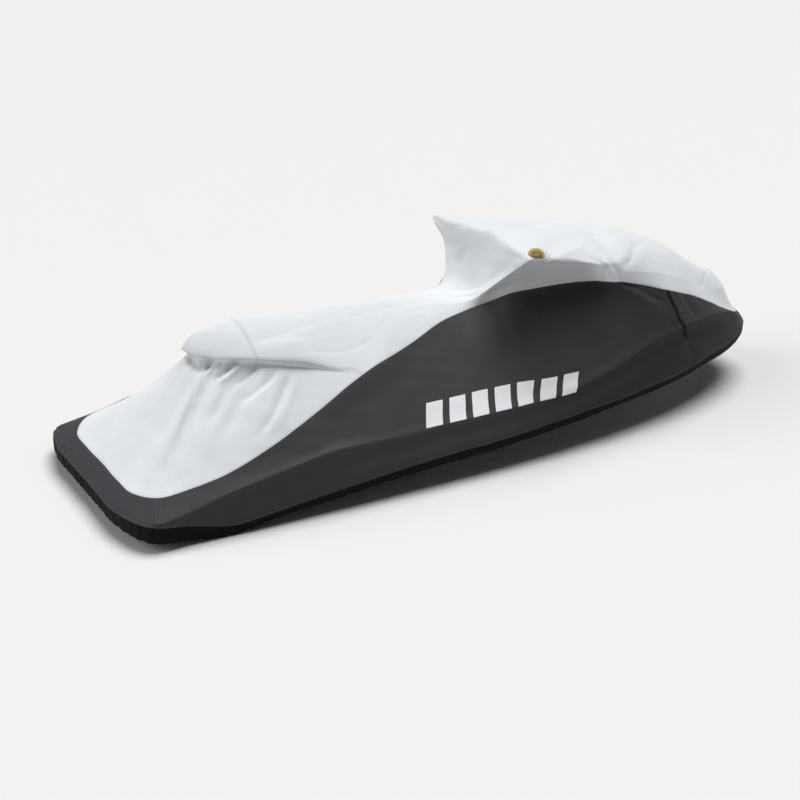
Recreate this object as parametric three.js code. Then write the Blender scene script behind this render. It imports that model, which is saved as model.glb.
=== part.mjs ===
// Personal watercraft cover, hanging as it is fitted: a hollow cloth shell in two colours.
// X points to the bow, Y to port and Z up. Sizes are in millimetres.
import * as THREE from "three";

// Driving sizes
const LENGTH = 3450;
const BEAM = 1220;
const WIDEST_AT = 1200;
const CORNER_AT = 95;
const CORNER_HALF_BEAM = 577;
const BOW_FULLNESS = 2.6;
const CLOTH = 2;
const SEAM_GAP = 0.3;
const HEM_TUCK = 50;
const HEM_TURN = 9;
const HEM_RISE = 14;

// Points of each section, from the centre line out and down to the turned hem
const LINES = ["spine", "edge", "tuck", "seam", "shoulder", "hem", "foot", "inner"];
const LINE = Object.fromEntries(LINES.map((name, index) => [name, index]));
const CELLS_PER_LINE = [5, 1, 4, 5, 2, 1, 1];
const CELLS_PER_SECTION = 2;

// Sections from the stern centre round the starboard quarter to the bow tip.
// y is a half breadth, and a hem y of null lies on the plan outline.
const COLUMNS = [
  "hemX", "hemY", "spineX", "spineZ", "edgeX", "edgeY", "edgeZ", "tuckX", "tuckY", "tuckZ", "fill",
  "seamX", "seamY", "seamZ", "shoulderX", "shoulderY", "shoulderZ", "hemZ", "footZ", "crease",
];
const SECTIONS = [
  [0, 0, 512, 534, 463, 0, 474, 478, 0, 456, 18, 80, 0, 58, 22, 0, 24, 0, -62, 0.8],
  [0, 190, 530, 542, 477, 43, 468, 491, 38, 449, 16, 78, 190, 57, 22, 192, 24, 0, -62, 0.8],
  [4, 362, 552, 551, 505, 90, 463, 518, 82, 443, 12, 92, 356, 60, 24, 360, 24, 0, -64, 0.8],
  [95, null, 582, 559, 546, 127, 461, 559, 115, 441, 8, 160, 452, 68, 103, 566, 12, 0, -72, 0.8],
  [240, null, 620, 565, 590, 159, 462, 601, 146, 441, 6, 290, 486, 91, 242, 571, 30, -18, -90, 0.8],
  [400, null, 662, 567, 645, 193, 462, 653, 180, 440, 6, 425, 499, 121, 402, 570, 70, -40, -103, 0.8],
  [600, null, 704, 566, 706, 222, 457, 712, 210, 435, 6, 600, 490, 176, 604, 570, 104, -12, -74, 0.8],
  [850, null, 870, 556, 872, 268, 429, 876, 262, 408, 4, 850, 436, 264, 856, 567, 146, 22, -50, 0.6],
  [1120, null, 1120, 545, 1092, 326, 386, 1104, 344, 373, 0, 1116, 360, 362, 1128, 565, 147, 50, -27, 0.3],
  [1380, null, 1380, 531, 1384, 196, 470, 1388, 236, 443, 0, 1392, 270, 416, 1390, 560, 147, 66, -10, 0.1],
  [1620, null, 1612, 516, 1645, 112, 502, 1643, 148, 487, 0, 1640, 180, 467, 1628, 556, 147, 70, -3, 0.2],
  [1760, null, 1788, 508, 1781, 132, 507, 1774, 145, 494, 0, 1766, 156, 481, 1766, 552, 148, 74, 6, 0.6],
  [1850, null, 1866, 524, 1857, 204, 588, 1856, 190, 550, 0, 1846, 188, 510, 1856, 548, 150, 78, 12, 0.8],
  [1920, null, 1930, 610, 1896, 288, 665, 1926, 256, 604, 0, 1912, 260, 559, 1926, 544, 153, 82, 17, 0.8],
  [1985, null, 1986, 767, 1916, 410, 753, 1985, 305, 640, 0, 1966, 290, 573, 1990, 540, 158, 86, 21, 0.8],
  [2070, null, 2076, 769, 2020, 385, 731, 2052, 326, 640, 0, 2046, 298, 576, 2076, 533, 166, 88, 27, 0.8],
  [2170, null, 2182, 757, 2130, 380, 710, 2152, 341, 635, 0, 2160, 309, 577, 2176, 522, 180, 86, 35, 0.8],
  [2300, null, 2312, 745, 2246, 385, 680, 2266, 359, 622, 0, 2308, 338, 576, 2308, 505, 205, 86, 45, 0.8],
  [2420, null, 2430, 730, 2332, 378, 655, 2372, 371, 604, 0, 2428, 364, 557, 2430, 482, 238, 91, 52, 0.6],
  [2560, null, 2568, 706, 2512, 335, 643, 2538, 370, 590, 0, 2548, 389, 532, 2572, 454, 274, 97, 58, 0.1],
  [2785, null, 2744, 656, 2698, 296, 602, 2702, 354, 548, 0, 2680, 400, 490, 2776, 412, 301, 110, 72, 0],
  [2920, null, 2894, 602, 2866, 248, 548, 2874, 308, 482, 0, 2868, 350, 421, 2912, 374, 300, 124, 87, 0],
  [3080, null, 3012, 530, 3010, 192, 482, 3032, 242, 404, 0, 3050, 284, 336, 3072, 312, 284, 128, 91, 0],
  [3220, null, 3064, 494, 3112, 150, 436, 3148, 194, 354, 0, 3180, 233, 272, 3206, 250, 246, 134, 98, 0.2],
  [3340, null, 3094, 470, 3184, 104, 418, 3244, 138, 342, 0, 3302, 174, 212, 3326, 188, 190, 141, 105, 0.4],
  [3420, null, 3112, 458, 3232, 54, 410, 3292, 72, 346, 0, 3390, 96, 186, 3407, 103, 168, 147, 110, 0.4],
  [3450, null, 3124, 449, 3250, 0, 407, 3304, 0, 346, 0, 3424, 0, 188, 3437, 0, 166, 150, 113, 0.4],
];
const LAST_SECTION = SECTIONS.length - 1;
const CORNER_SECTION = 3;
const CAP_SEAM_SECTION = 6;
const TAIL_END_SECTION = 8;
const RIDGE_SECTION = 14;
const STRAP_SECTION = 20;

// How sharply the cloth breaks over the other lines, from 0 for round to 1 for a fold
const LINE_CREASE = { spine: 0, edge: 0, tuck: 0.9, seam: 0, shoulder: 0.55, hem: 0.2, foot: 0.3, inner: 0 };
const RIDGE_CREASE = 0.75;

// The cover is pulled a little to starboard over the tail
const TAIL_LEAN = 30;
const TAIL_LEAN_SECTIONS = 6;

// Main folds: a trough (negative) or ridge pressed along a run from one section and line to another
const FOLD_COLUMNS = ["side", "fromSection", "fromLine", "toSection", "toLine", "height", "width"];
const FOLDS = [
  ["starboard", 3.4, 2.1, 2.7, 2.6, -7, 42],
  ["starboard", 5.3, 2.1, 3.9, 2.6, -9, 30],
  ["starboard", 6.1, 2.1, 4.8, 2.7, -8, 34],
  ["starboard", 6.7, 2.2, 6.2, 2.8, 7, 34],
  ["starboard", 1.6, 2.1, 1.4, 2.7, -8, 30],
  ["port", 3.8, 2.1, 3.1, 2.6, -9, 30],
  ["port", 5.6, 2.1, 4.5, 2.7, -8, 32],
  ["port", 1.2, 2.1, 1.8, 2.6, -7, 30],
  ["starboard", 6.6, 0.5, 9.2, 0.55, -6, 42],
  ["port", 7.0, 0.5, 9.6, 0.4, -5, 46],
  ["starboard", 12.4, 0.3, 13.6, 0.62, -8, 30],
  ["port", 12.3, 0.5, 13.5, 0.3, -7, 30],
  ["starboard", 15.4, 0.95, 17.2, 0.5, 7, 34],
  ["starboard", 18.6, 0.95, 18.4, 0.2, -12, 46],
  ["port", 18.4, 0.95, 18.6, 0.2, -10, 46],
  ["starboard", 17.4, 3.15, 20.4, 3.55, 8, 34],
  ["port", 17.8, 3.2, 20.0, 3.5, 7, 36],
  ["starboard", 20.6, 3.0, 21.0, 3.9, -6, 26],
  ["port", 20.4, 3.0, 20.8, 3.9, -6, 26],
  ["starboard", 15.0, 3.5, 17.0, 3.75, -6, 50],
  ["port", 14.0, 3.5, 16.4, 3.7, -6, 50],
];

// Colours of the cloth
const LIGHT = { color: 0xdde0e2, roughness: 0.8, metalness: 0 };
const DARK = { color: 0x3e4043, roughness: 0.75, metalness: 0 };
const BLACK = { color: 0x0e0e0f, roughness: 0.85, metalness: 0 };
const YELLOW = { color: 0xa8881e, roughness: 0.6, metalness: 0 };

// Webbing strap at each bow seam, with its end tab
const STRAP_HALF_WIDTH = 11;
const STRAP_THICKNESS = 1.6;
const STRAP_CLEARANCE = 0.9;
const STRAP_CELLS = 4;

// Round patch at the end of the starboard grip
const PATCH_RADIUS = 30;
const PATCH_THICKNESS = 1.5;
const PATCH_SIDES = 20;
const PATCH_CLEARANCE = 0.7;
const PATCH_PLACE = { x: 1976, y: -376, z: 752 };

// The part hangs at the middle of the ridge, so its origin is under the cloth there
const HANG = { x: 1986, z: 765 };

function halfBeam(x) {
  if (x < WIDEST_AT) {
    const back = (WIDEST_AT - x) / (WIDEST_AT - CORNER_AT);
    return BEAM / 2 - (BEAM / 2 - CORNER_HALF_BEAM) * back * back;
  }
  const forward = (x - WIDEST_AT) / (LENGTH - WIDEST_AT);
  return (BEAM / 2) * Math.sqrt(Math.max(0, 1 - forward ** BOW_FULLNESS));
}

function row(columns, values) {
  return Object.fromEntries(columns.map((name, index) => [name, values[index]]));
}

function sectionPoints(section) {
  const s = row(COLUMNS, section);
  const hemY = s.hemY ?? halfBeam(s.hemX);
  const middle = new THREE.Vector2(s.seamX + (s.hemX - s.seamX) * 0.2, 0);
  const inward = middle.sub(new THREE.Vector2(s.hemX, hemY));
  const direction = s.hemX < CORNER_AT ? new THREE.Vector2(1, 0) : inward.normalize();
  const hemPoint = (inset, z) => new THREE.Vector3(
    s.hemX + direction.x * inset,
    hemY + direction.y * inset,
    z,
  );
  return [
    new THREE.Vector3(s.spineX, 0, s.spineZ),
    new THREE.Vector3(s.edgeX, s.edgeY, s.edgeZ),
    new THREE.Vector3(s.tuckX, s.tuckY, s.tuckZ),
    new THREE.Vector3(s.seamX, s.seamY, s.seamZ),
    new THREE.Vector3(s.shoulderX, s.shoulderY, s.shoulderZ),
    hemPoint(0, s.hemZ),
    hemPoint(HEM_TURN, s.footZ),
    hemPoint(HEM_TUCK, s.footZ + HEM_RISE),
  ];
}

// Slope of a curve at a point between two neighbours, for an even walk along its chords
function slopeAt(before, at, after, crease) {
  const a = Math.max(at.distanceTo(before), 1);
  const b = Math.max(after.distanceTo(at), 1);
  const slope = at.clone().sub(before).multiplyScalar(b / a);
  slope.addScaledVector(after.clone().sub(at), a / b);
  return slope.multiplyScalar((1 - crease) / (a + b));
}

function hermite(from, to, slopeFrom, slopeTo, t) {
  const length = from.distanceTo(to);
  const t2 = t * t;
  const t3 = t2 * t;
  return from.clone().multiplyScalar(2 * t3 - 3 * t2 + 1)
    .addScaledVector(slopeFrom, (t3 - 2 * t2 + t) * length)
    .addScaledVector(to, 3 * t2 - 2 * t3)
    .addScaledVector(slopeTo, (t3 - t2) * length);
}

const sectionNet = SECTIONS.map(sectionPoints);
const edgeCreases = SECTIONS.map((section) => row(COLUMNS, section).crease);
const fills = SECTIONS.map((section) => row(COLUMNS, section).fill);

// Direction out of the cover, square to a chord that falls from one point to another
function outwardOf(high, low) {
  const fall = high.z - low.z;
  const level = low.clone().sub(high).setZ(0);
  const run = level.length();
  return level.normalize().multiplyScalar(fall).setZ(run).normalize();
}

// At the centre line the cloth runs level across, and along the spine it keeps the spine's slope
function spineSlope(index) {
  const net = sectionNet[index];
  const across = net[1].clone().sub(net[0]).setZ(0).normalize();
  const before = sectionNet[Math.max(0, index - 1)][0];
  const after = sectionNet[Math.min(LAST_SECTION, index + 1)][0];
  const fall = (after.z - before.z) / (after.x - before.x);
  return across.setZ(fall * across.x);
}

function profilePoint(index, line) {
  const net = sectionNet[index];
  const last = net.length - 1;
  const from = Math.min(Math.floor(line), last - 1);
  const slope = (at) => {
    if (at === 0) {
      return spineSlope(index);
    }
    if (at === last) {
      return net[last].clone().sub(net[last - 1]).normalize();
    }
    const crease = at === LINE.edge ? edgeCreases[index] : LINE_CREASE[LINES[at]];
    return slopeAt(net[at - 1], net[at], net[at + 1], crease);
  };
  const t = line - from;
  const point = hermite(net[from], net[from + 1], slope(from), slope(from + 1), t);
  if (from === LINE.tuck) {
    const swell = 4 * t * (1 - t) * fills[index];
    point.addScaledVector(outwardOf(net[from], net[from + 1]), swell);
  }
  return point;
}

function mirrored(point) {
  return new THREE.Vector3(point.x, -point.y, point.z);
}

// Point of the smooth starboard half before its folds, with y as a half breadth
function smoothPoint(section, line) {
  const from = Math.min(Math.floor(section), LAST_SECTION - 1);
  const at = (index) => {
    if (index < 0) {
      return mirrored(profilePoint(1, line));
    }
    if (index > LAST_SECTION) {
      return mirrored(profilePoint(LAST_SECTION - 1, line));
    }
    return profilePoint(index, line);
  };
  const crease = (index) => {
    const onRidge = index === RIDGE_SECTION && line <= LINE.edge;
    return onRidge ? RIDGE_CREASE : 0;
  };
  const points = [at(from - 1), at(from), at(from + 1), at(from + 2)];
  const slopeFrom = slopeAt(points[0], points[1], points[2], crease(from));
  const slopeTo = slopeAt(points[1], points[2], points[3], crease(from + 1));
  return hermite(points[1], points[2], slopeFrom, slopeTo, section - from);
}

const folds = FOLDS.map((values) => {
  const fold = row(FOLD_COLUMNS, values);
  const middle = [(fold.fromSection + fold.toSection) / 2, (fold.fromLine + fold.toLine) / 2];
  fold.run = [
    smoothPoint(fold.fromSection, fold.fromLine),
    smoothPoint(...middle),
    smoothPoint(fold.toSection, fold.toLine),
  ];
  return fold;
});

// Height of the folds of one side at a point, fading towards each fold's ends
function foldHeight(side, point) {
  const nearest = new THREE.Vector3();
  let height = 0;
  for (const fold of folds.filter((each) => each.side === side)) {
    const [start, middle, end] = fold.run;
    const length = start.distanceTo(middle) + middle.distanceTo(end);
    let closest = Infinity;
    let along = 0;
    for (const [a, b, done] of [[start, middle, 0], [middle, end, start.distanceTo(middle)]]) {
      const piece = new THREE.Line3(a, b);
      const t = piece.closestPointToPointParameter(point, true);
      piece.at(t, nearest);
      if (nearest.distanceTo(point) < closest) {
        closest = nearest.distanceTo(point);
        along = (done + t * piece.distance()) / length;
      }
    }
    const fade = Math.min(1, 0.3 + 2 * Math.min(along, 1 - along));
    height += fold.height * fade * Math.exp(-((closest / fold.width) ** 2));
  }
  return height;
}

// Sideways pull of the cloth at the tail, most at the seam and fading forward
function tailLean(section, line) {
  const along = Math.max(0, 1 - section / TAIL_LEAN_SECTIONS);
  const across = Math.max(0, 1 - Math.abs(line - LINE.seam) / (LINE.seam - LINE.edge));
  return TAIL_LEAN * along * across * across * (3 - 2 * across);
}

// Positions along the sections and lines where the grid has its rows
function gridValues(cellsPerStep) {
  const values = cellsPerStep.flatMap((cells, step) => (
    Array.from({ length: cells }, (_, index) => step + index / cells)
  ));
  return [...values, cellsPerStep.length];
}

const sectionValues = gridValues(Array(LAST_SECTION).fill(CELLS_PER_SECTION));
const lineValues = gridValues(CELLS_PER_LINE);
const lineStart = (name) => lineValues.indexOf(LINE[name]);
const sectionStart = (section) => sectionValues.indexOf(section);

const SIDES = ["starboard", "port"];
const place = (point) => `${point.x.toFixed(2)},${point.y.toFixed(2)},${point.z.toFixed(2)}`;

function sideGrid(side) {
  const facing = side === "starboard" ? -1 : 1;
  return sectionValues.map((section) => lineValues.map((line) => {
    const point = smoothPoint(section, line);
    point.y = point.y * facing - tailLean(section, line);
    return point;
  }));
}

// The four corners of a cell, in the order that faces out
function cellCorners(side, i, j) {
  const corners = [[i, j], [i + 1, j], [i + 1, j + 1], [i, j + 1]];
  return side === "starboard" ? corners.reverse() : corners;
}

function vertexNormals(grids) {
  const normals = new Map();
  for (const side of SIDES) {
    for (let i = 0; i < sectionValues.length - 1; i += 1) {
      for (let j = 0; j < lineValues.length - 1; j += 1) {
        const corners = cellCorners(side, i, j).map(([a, b]) => grids[side][a][b]);
        const normal = corners[2].clone().sub(corners[0]);
        normal.cross(corners[3].clone().sub(corners[1]));
        for (const corner of corners) {
          const key = place(corner);
          normals.set(key, (normals.get(key) ?? new THREE.Vector3()).add(normal));
        }
      }
    }
  }
  for (const normal of normals.values()) {
    normal.normalize();
  }
  return normals;
}

function foldedGrids() {
  const grids = Object.fromEntries(SIDES.map((side) => [side, sideGrid(side)]));
  const smoothNormals = vertexNormals(grids);
  sectionValues.forEach((section, i) => {
    lineValues.forEach((line, j) => {
      const half = smoothPoint(section, line);
      const heights = SIDES.map((side) => foldHeight(side, half));
      const shared = j === 0 || section === 0 || section === LAST_SECTION;
      const mean = (heights[0] + heights[1]) / 2;
      SIDES.forEach((side, k) => {
        const point = grids[side][i][j];
        point.addScaledVector(smoothNormals.get(place(point)), shared ? mean : heights[k]);
      });
    });
  });
  return grids;
}

const grids = foldedGrids();
const normals = vertexNormals(grids);

// Closed sheet of some of the grid's cells, with its edges drawn in by half the seam gap
function sheet(name, finish, cells) {
  const outer = new Map();
  const faces = [];
  const edges = new Map();
  for (const [side, i, j] of cells) {
    const keys = cellCorners(side, i, j).map(([a, b]) => {
      const point = grids[side][a][b];
      outer.set(place(point), point);
      return place(point);
    });
    faces.push([keys[0], keys[1], keys[2]], [keys[0], keys[2], keys[3]]);
    keys.forEach((key, index) => {
      const next = keys[(index + 1) % keys.length];
      edges.set(`${key}|${next}`, [key, next]);
    });
  }
  const rim = [...edges.values()].filter(([a, b]) => !edges.has(`${b}|${a}`));
  const inwards = new Map();
  for (const [a, b] of rim) {
    const along = outer.get(b).clone().sub(outer.get(a));
    for (const key of [a, b]) {
      const inward = normals.get(key).clone().cross(along).normalize();
      inwards.set(key, [...(inwards.get(key) ?? []), inward]);
    }
  }
  const order = [...outer.keys()];
  const number = new Map(order.map((key, index) => [key, index]));
  const outerPoints = order.map((key) => {
    const point = outer.get(key).clone();
    const [one, two] = inwards.get(key) ?? [];
    if (two) {
      const spread = Math.max(0.3, 1 + one.dot(two));
      point.addScaledVector(one.clone().add(two), SEAM_GAP / 2 / spread);
    }
    return point;
  });
  const innerPoints = order.map((key, index) => (
    outerPoints[index].clone().addScaledVector(normals.get(key), -CLOTH)
  ));
  const count = order.length;
  const triangles = faces.map((face) => face.map((key) => number.get(key)));
  const inside = triangles.map(([a, b, c]) => [a + count, c + count, b + count]);
  const walls = rim.flatMap(([a, b]) => {
    const [p, q] = [number.get(a), number.get(b)];
    // Both neighbours of a seam split its wall along the same diagonal
    return a < b
      ? [[q, p, p + count], [q, p + count, q + count]]
      : [[q, p, q + count], [p, p + count, q + count]];
  });
  return mesh(name, finish, [...outerPoints, ...innerPoints], [...triangles, ...inside, ...walls]);
}

function mesh(name, finish, points, triangles) {
  const geometry = new THREE.BufferGeometry();
  const positions = points.flatMap((point) => point.toArray());
  geometry.setAttribute("position", new THREE.Float32BufferAttribute(positions, 3));
  geometry.setIndex(triangles.flat());
  geometry.computeVertexNormals();
  const result = new THREE.Mesh(geometry, new THREE.MeshStandardMaterial(finish));
  result.name = name;
  return result;
}

// Cells between two sections and two lines, on the sides that are named
function block(sides, fromSection, toSection, fromLine, toLine) {
  const cells = [];
  for (const side of sides) {
    for (let i = sectionStart(fromSection); i < sectionStart(toSection); i += 1) {
      for (let j = lineStart(fromLine); j < lineStart(toLine); j += 1) {
        cells.push([side, i, j]);
      }
    }
  }
  return cells;
}

function seatCap() {
  return sheet("seat_cap", LIGHT, block(SIDES, 0, CAP_SEAM_SECTION, "spine", "edge"));
}

function tailPanel() {
  return sheet("tail_panel", LIGHT, block(SIDES, 0, TAIL_END_SECTION, "edge", "seam"));
}

function topPanel() {
  return sheet("top_panel", LIGHT, [
    ...block(SIDES, CAP_SEAM_SECTION, TAIL_END_SECTION, "spine", "edge"),
    ...block(SIDES, TAIL_END_SECTION, LAST_SECTION, "spine", "seam"),
  ]);
}

function sternBand() {
  return sheet("stern_band", DARK, block(SIDES, 0, CORNER_SECTION, "seam", "hem"));
}

function sidePanel(side) {
  const cells = block([side], CORNER_SECTION, STRAP_SECTION, "seam", "hem");
  return sheet(`side_panel_${side}`, DARK, cells);
}

function bowBand() {
  return sheet("bow_band", DARK, block(SIDES, STRAP_SECTION, LAST_SECTION, "seam", "hem"));
}

function hemCasing() {
  return sheet("hem_casing", BLACK, block(SIDES, 0, LAST_SECTION, "hem", "inner"));
}

// Webbing laid along the bow seam, bent at the rows of the cloth under it
function bowStrap(side) {
  const i = sectionStart(STRAP_SECTION);
  const start = lineStart("seam");
  const grid = grids[side];
  const rows = [];
  for (let step = 0; step <= STRAP_CELLS; step += 1) {
    const j = start + step;
    const middle = grid[i][j];
    const normal = normals.get(place(middle));
    const reach = (neighbour) => {
      const away = neighbour.clone().sub(middle);
      return middle.clone().addScaledVector(away.normalize(), STRAP_HALF_WIDTH);
    };
    const across = [reach(grid[i - 1][j]), middle.clone(), reach(grid[i + 1][j])];
    const lift = (points, by) => points.map((point) => point.clone().addScaledVector(normal, by));
    rows.push([
      ...lift(across, STRAP_CLEARANCE),
      ...lift(across, STRAP_CLEARANCE + STRAP_THICKNESS).reverse(),
    ]);
  }
  const ring = rows[0].length;
  const triangles = [];
  for (let step = 0; step < STRAP_CELLS; step += 1) {
    for (let k = 0; k < ring; k += 1) {
      const a = step * ring + k;
      const b = step * ring + ((k + 1) % ring);
      triangles.push([a, b, b + ring], [a, b + ring, a + ring]);
    }
  }
  const end = STRAP_CELLS * ring;
  for (const [a, b, c, d] of [[0, 1, 4, 5], [1, 2, 3, 4]]) {
    triangles.push([a, c, b], [a, d, c]);
    triangles.push([end + a, end + b, end + c], [end + a, end + c, end + d]);
  }
  const facing = side === "starboard" ? triangles : triangles.map(([a, b, c]) => [a, c, b]);
  return mesh(`bow_strap_${side}`, BLACK, rows.flat(), facing);
}

// Flat face of the folded cloth that lies nearest to a point, with its closest point
function nearestFace(side, target) {
  let nearest = { distance: Infinity };
  for (let i = 0; i < sectionValues.length - 1; i += 1) {
    for (let j = 0; j < lineValues.length - 1; j += 1) {
      const [a, b, c, d] = cellCorners(side, i, j).map(([p, q]) => grids[side][p][q]);
      for (const face of [new THREE.Triangle(a, b, c), new THREE.Triangle(a, c, d)]) {
        const point = face.closestPointToPoint(target, new THREE.Vector3());
        const distance = point.distanceTo(target);
        if (distance < nearest.distance) {
          nearest = { distance, point, normal: face.getNormal(new THREE.Vector3()) };
        }
      }
    }
  }
  return nearest;
}

// Thin round patch that rests on the cloth at the end of the grip
function gripPatch() {
  const geometry = new THREE.CylinderGeometry(PATCH_RADIUS, PATCH_RADIUS, PATCH_THICKNESS, PATCH_SIDES);
  const patch = new THREE.Mesh(geometry, new THREE.MeshStandardMaterial(YELLOW));
  patch.name = "grip_patch";
  const { x, y, z } = PATCH_PLACE;
  const seat = nearestFace("starboard", new THREE.Vector3(x, y, z));
  patch.quaternion.setFromUnitVectors(new THREE.Vector3(0, 1, 0), seat.normal);
  patch.position.copy(seat.point).addScaledVector(seat.normal, PATCH_CLEARANCE + PATCH_THICKNESS / 2);
  return patch;
}

const cover = new THREE.Group();
cover.add(seatCap(), tailPanel(), topPanel(), sternBand());
for (const side of SIDES) {
  cover.add(sidePanel(side), bowStrap(side));
}
cover.add(bowBand(), hemCasing(), gripPatch());
cover.position.set(-HANG.x, 0, -HANG.z);

export default cover;
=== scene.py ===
"""Fitted cloth cover for a personal watercraft, hanging as it is worn.

X points to the bow, Y to port and Z up. The section table is in millimetres from the stern at the
water line; every mesh is in metres from the point where the cover hangs.
"""
import math

import bmesh
import bpy
import numpy as np
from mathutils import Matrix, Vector


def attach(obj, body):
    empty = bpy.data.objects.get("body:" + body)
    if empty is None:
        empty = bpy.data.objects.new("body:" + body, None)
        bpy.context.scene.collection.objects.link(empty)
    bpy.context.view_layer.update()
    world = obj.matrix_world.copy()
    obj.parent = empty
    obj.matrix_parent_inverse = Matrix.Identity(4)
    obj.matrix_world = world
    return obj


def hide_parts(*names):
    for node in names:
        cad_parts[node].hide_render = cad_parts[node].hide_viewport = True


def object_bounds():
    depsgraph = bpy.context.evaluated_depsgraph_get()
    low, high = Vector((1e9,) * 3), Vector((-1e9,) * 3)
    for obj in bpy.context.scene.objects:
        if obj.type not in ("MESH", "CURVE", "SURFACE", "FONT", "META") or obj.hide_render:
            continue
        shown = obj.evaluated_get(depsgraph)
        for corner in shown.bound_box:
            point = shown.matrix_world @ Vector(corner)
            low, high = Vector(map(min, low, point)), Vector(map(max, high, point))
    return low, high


bl_info = {
    "name": "Watercraft Cover",
    "version": (1, 0, 0),
    "blender": (4, 5, 0),
    "location": "View3D > Sidebar > Cover",
    "description": "Builds a fitted cloth cover for a personal watercraft",
    "category": "Add Mesh",
}

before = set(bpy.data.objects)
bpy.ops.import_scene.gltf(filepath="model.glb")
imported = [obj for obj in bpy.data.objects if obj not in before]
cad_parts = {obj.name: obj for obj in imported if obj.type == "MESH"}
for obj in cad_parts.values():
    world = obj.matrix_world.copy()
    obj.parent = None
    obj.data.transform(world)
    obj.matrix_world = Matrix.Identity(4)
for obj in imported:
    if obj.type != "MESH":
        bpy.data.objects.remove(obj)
CAD_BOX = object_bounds()
MM = 0.001

# Driving sizes of the cover, in millimetres
LENGTH = 3450
BEAM = 1220
WIDEST_AT = 1200
CORNER_AT = 95
CORNER_HALF_BEAM = 577
BOW_FULLNESS = 2.6
HEM_TUCK = 50
HEM_TURN = 9
HEM_RISE = 14
HEM_AIM = 0.2
HANG = np.array((1986, 0, 765))
TAIL_LEAN = 30
TAIL_LEAN_SECTIONS = 6

# Points of each section, from the centre line out and down to the turned hem
SPINE, EDGE, TUCK, SEAM, SHOULDER, HEM, FOOT, INNER = range(8)
LINE_CREASE = (0, 0, 0.9, 0, 0.85, 0.2, 0.3, 0)
RIDGE_CREASE = 0.2
SEAM_CREASE = 0.85
SEAM_CREASE_FROM = (7, 9.5)
SEAM_CREASE_TO = (19, 22)

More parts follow.
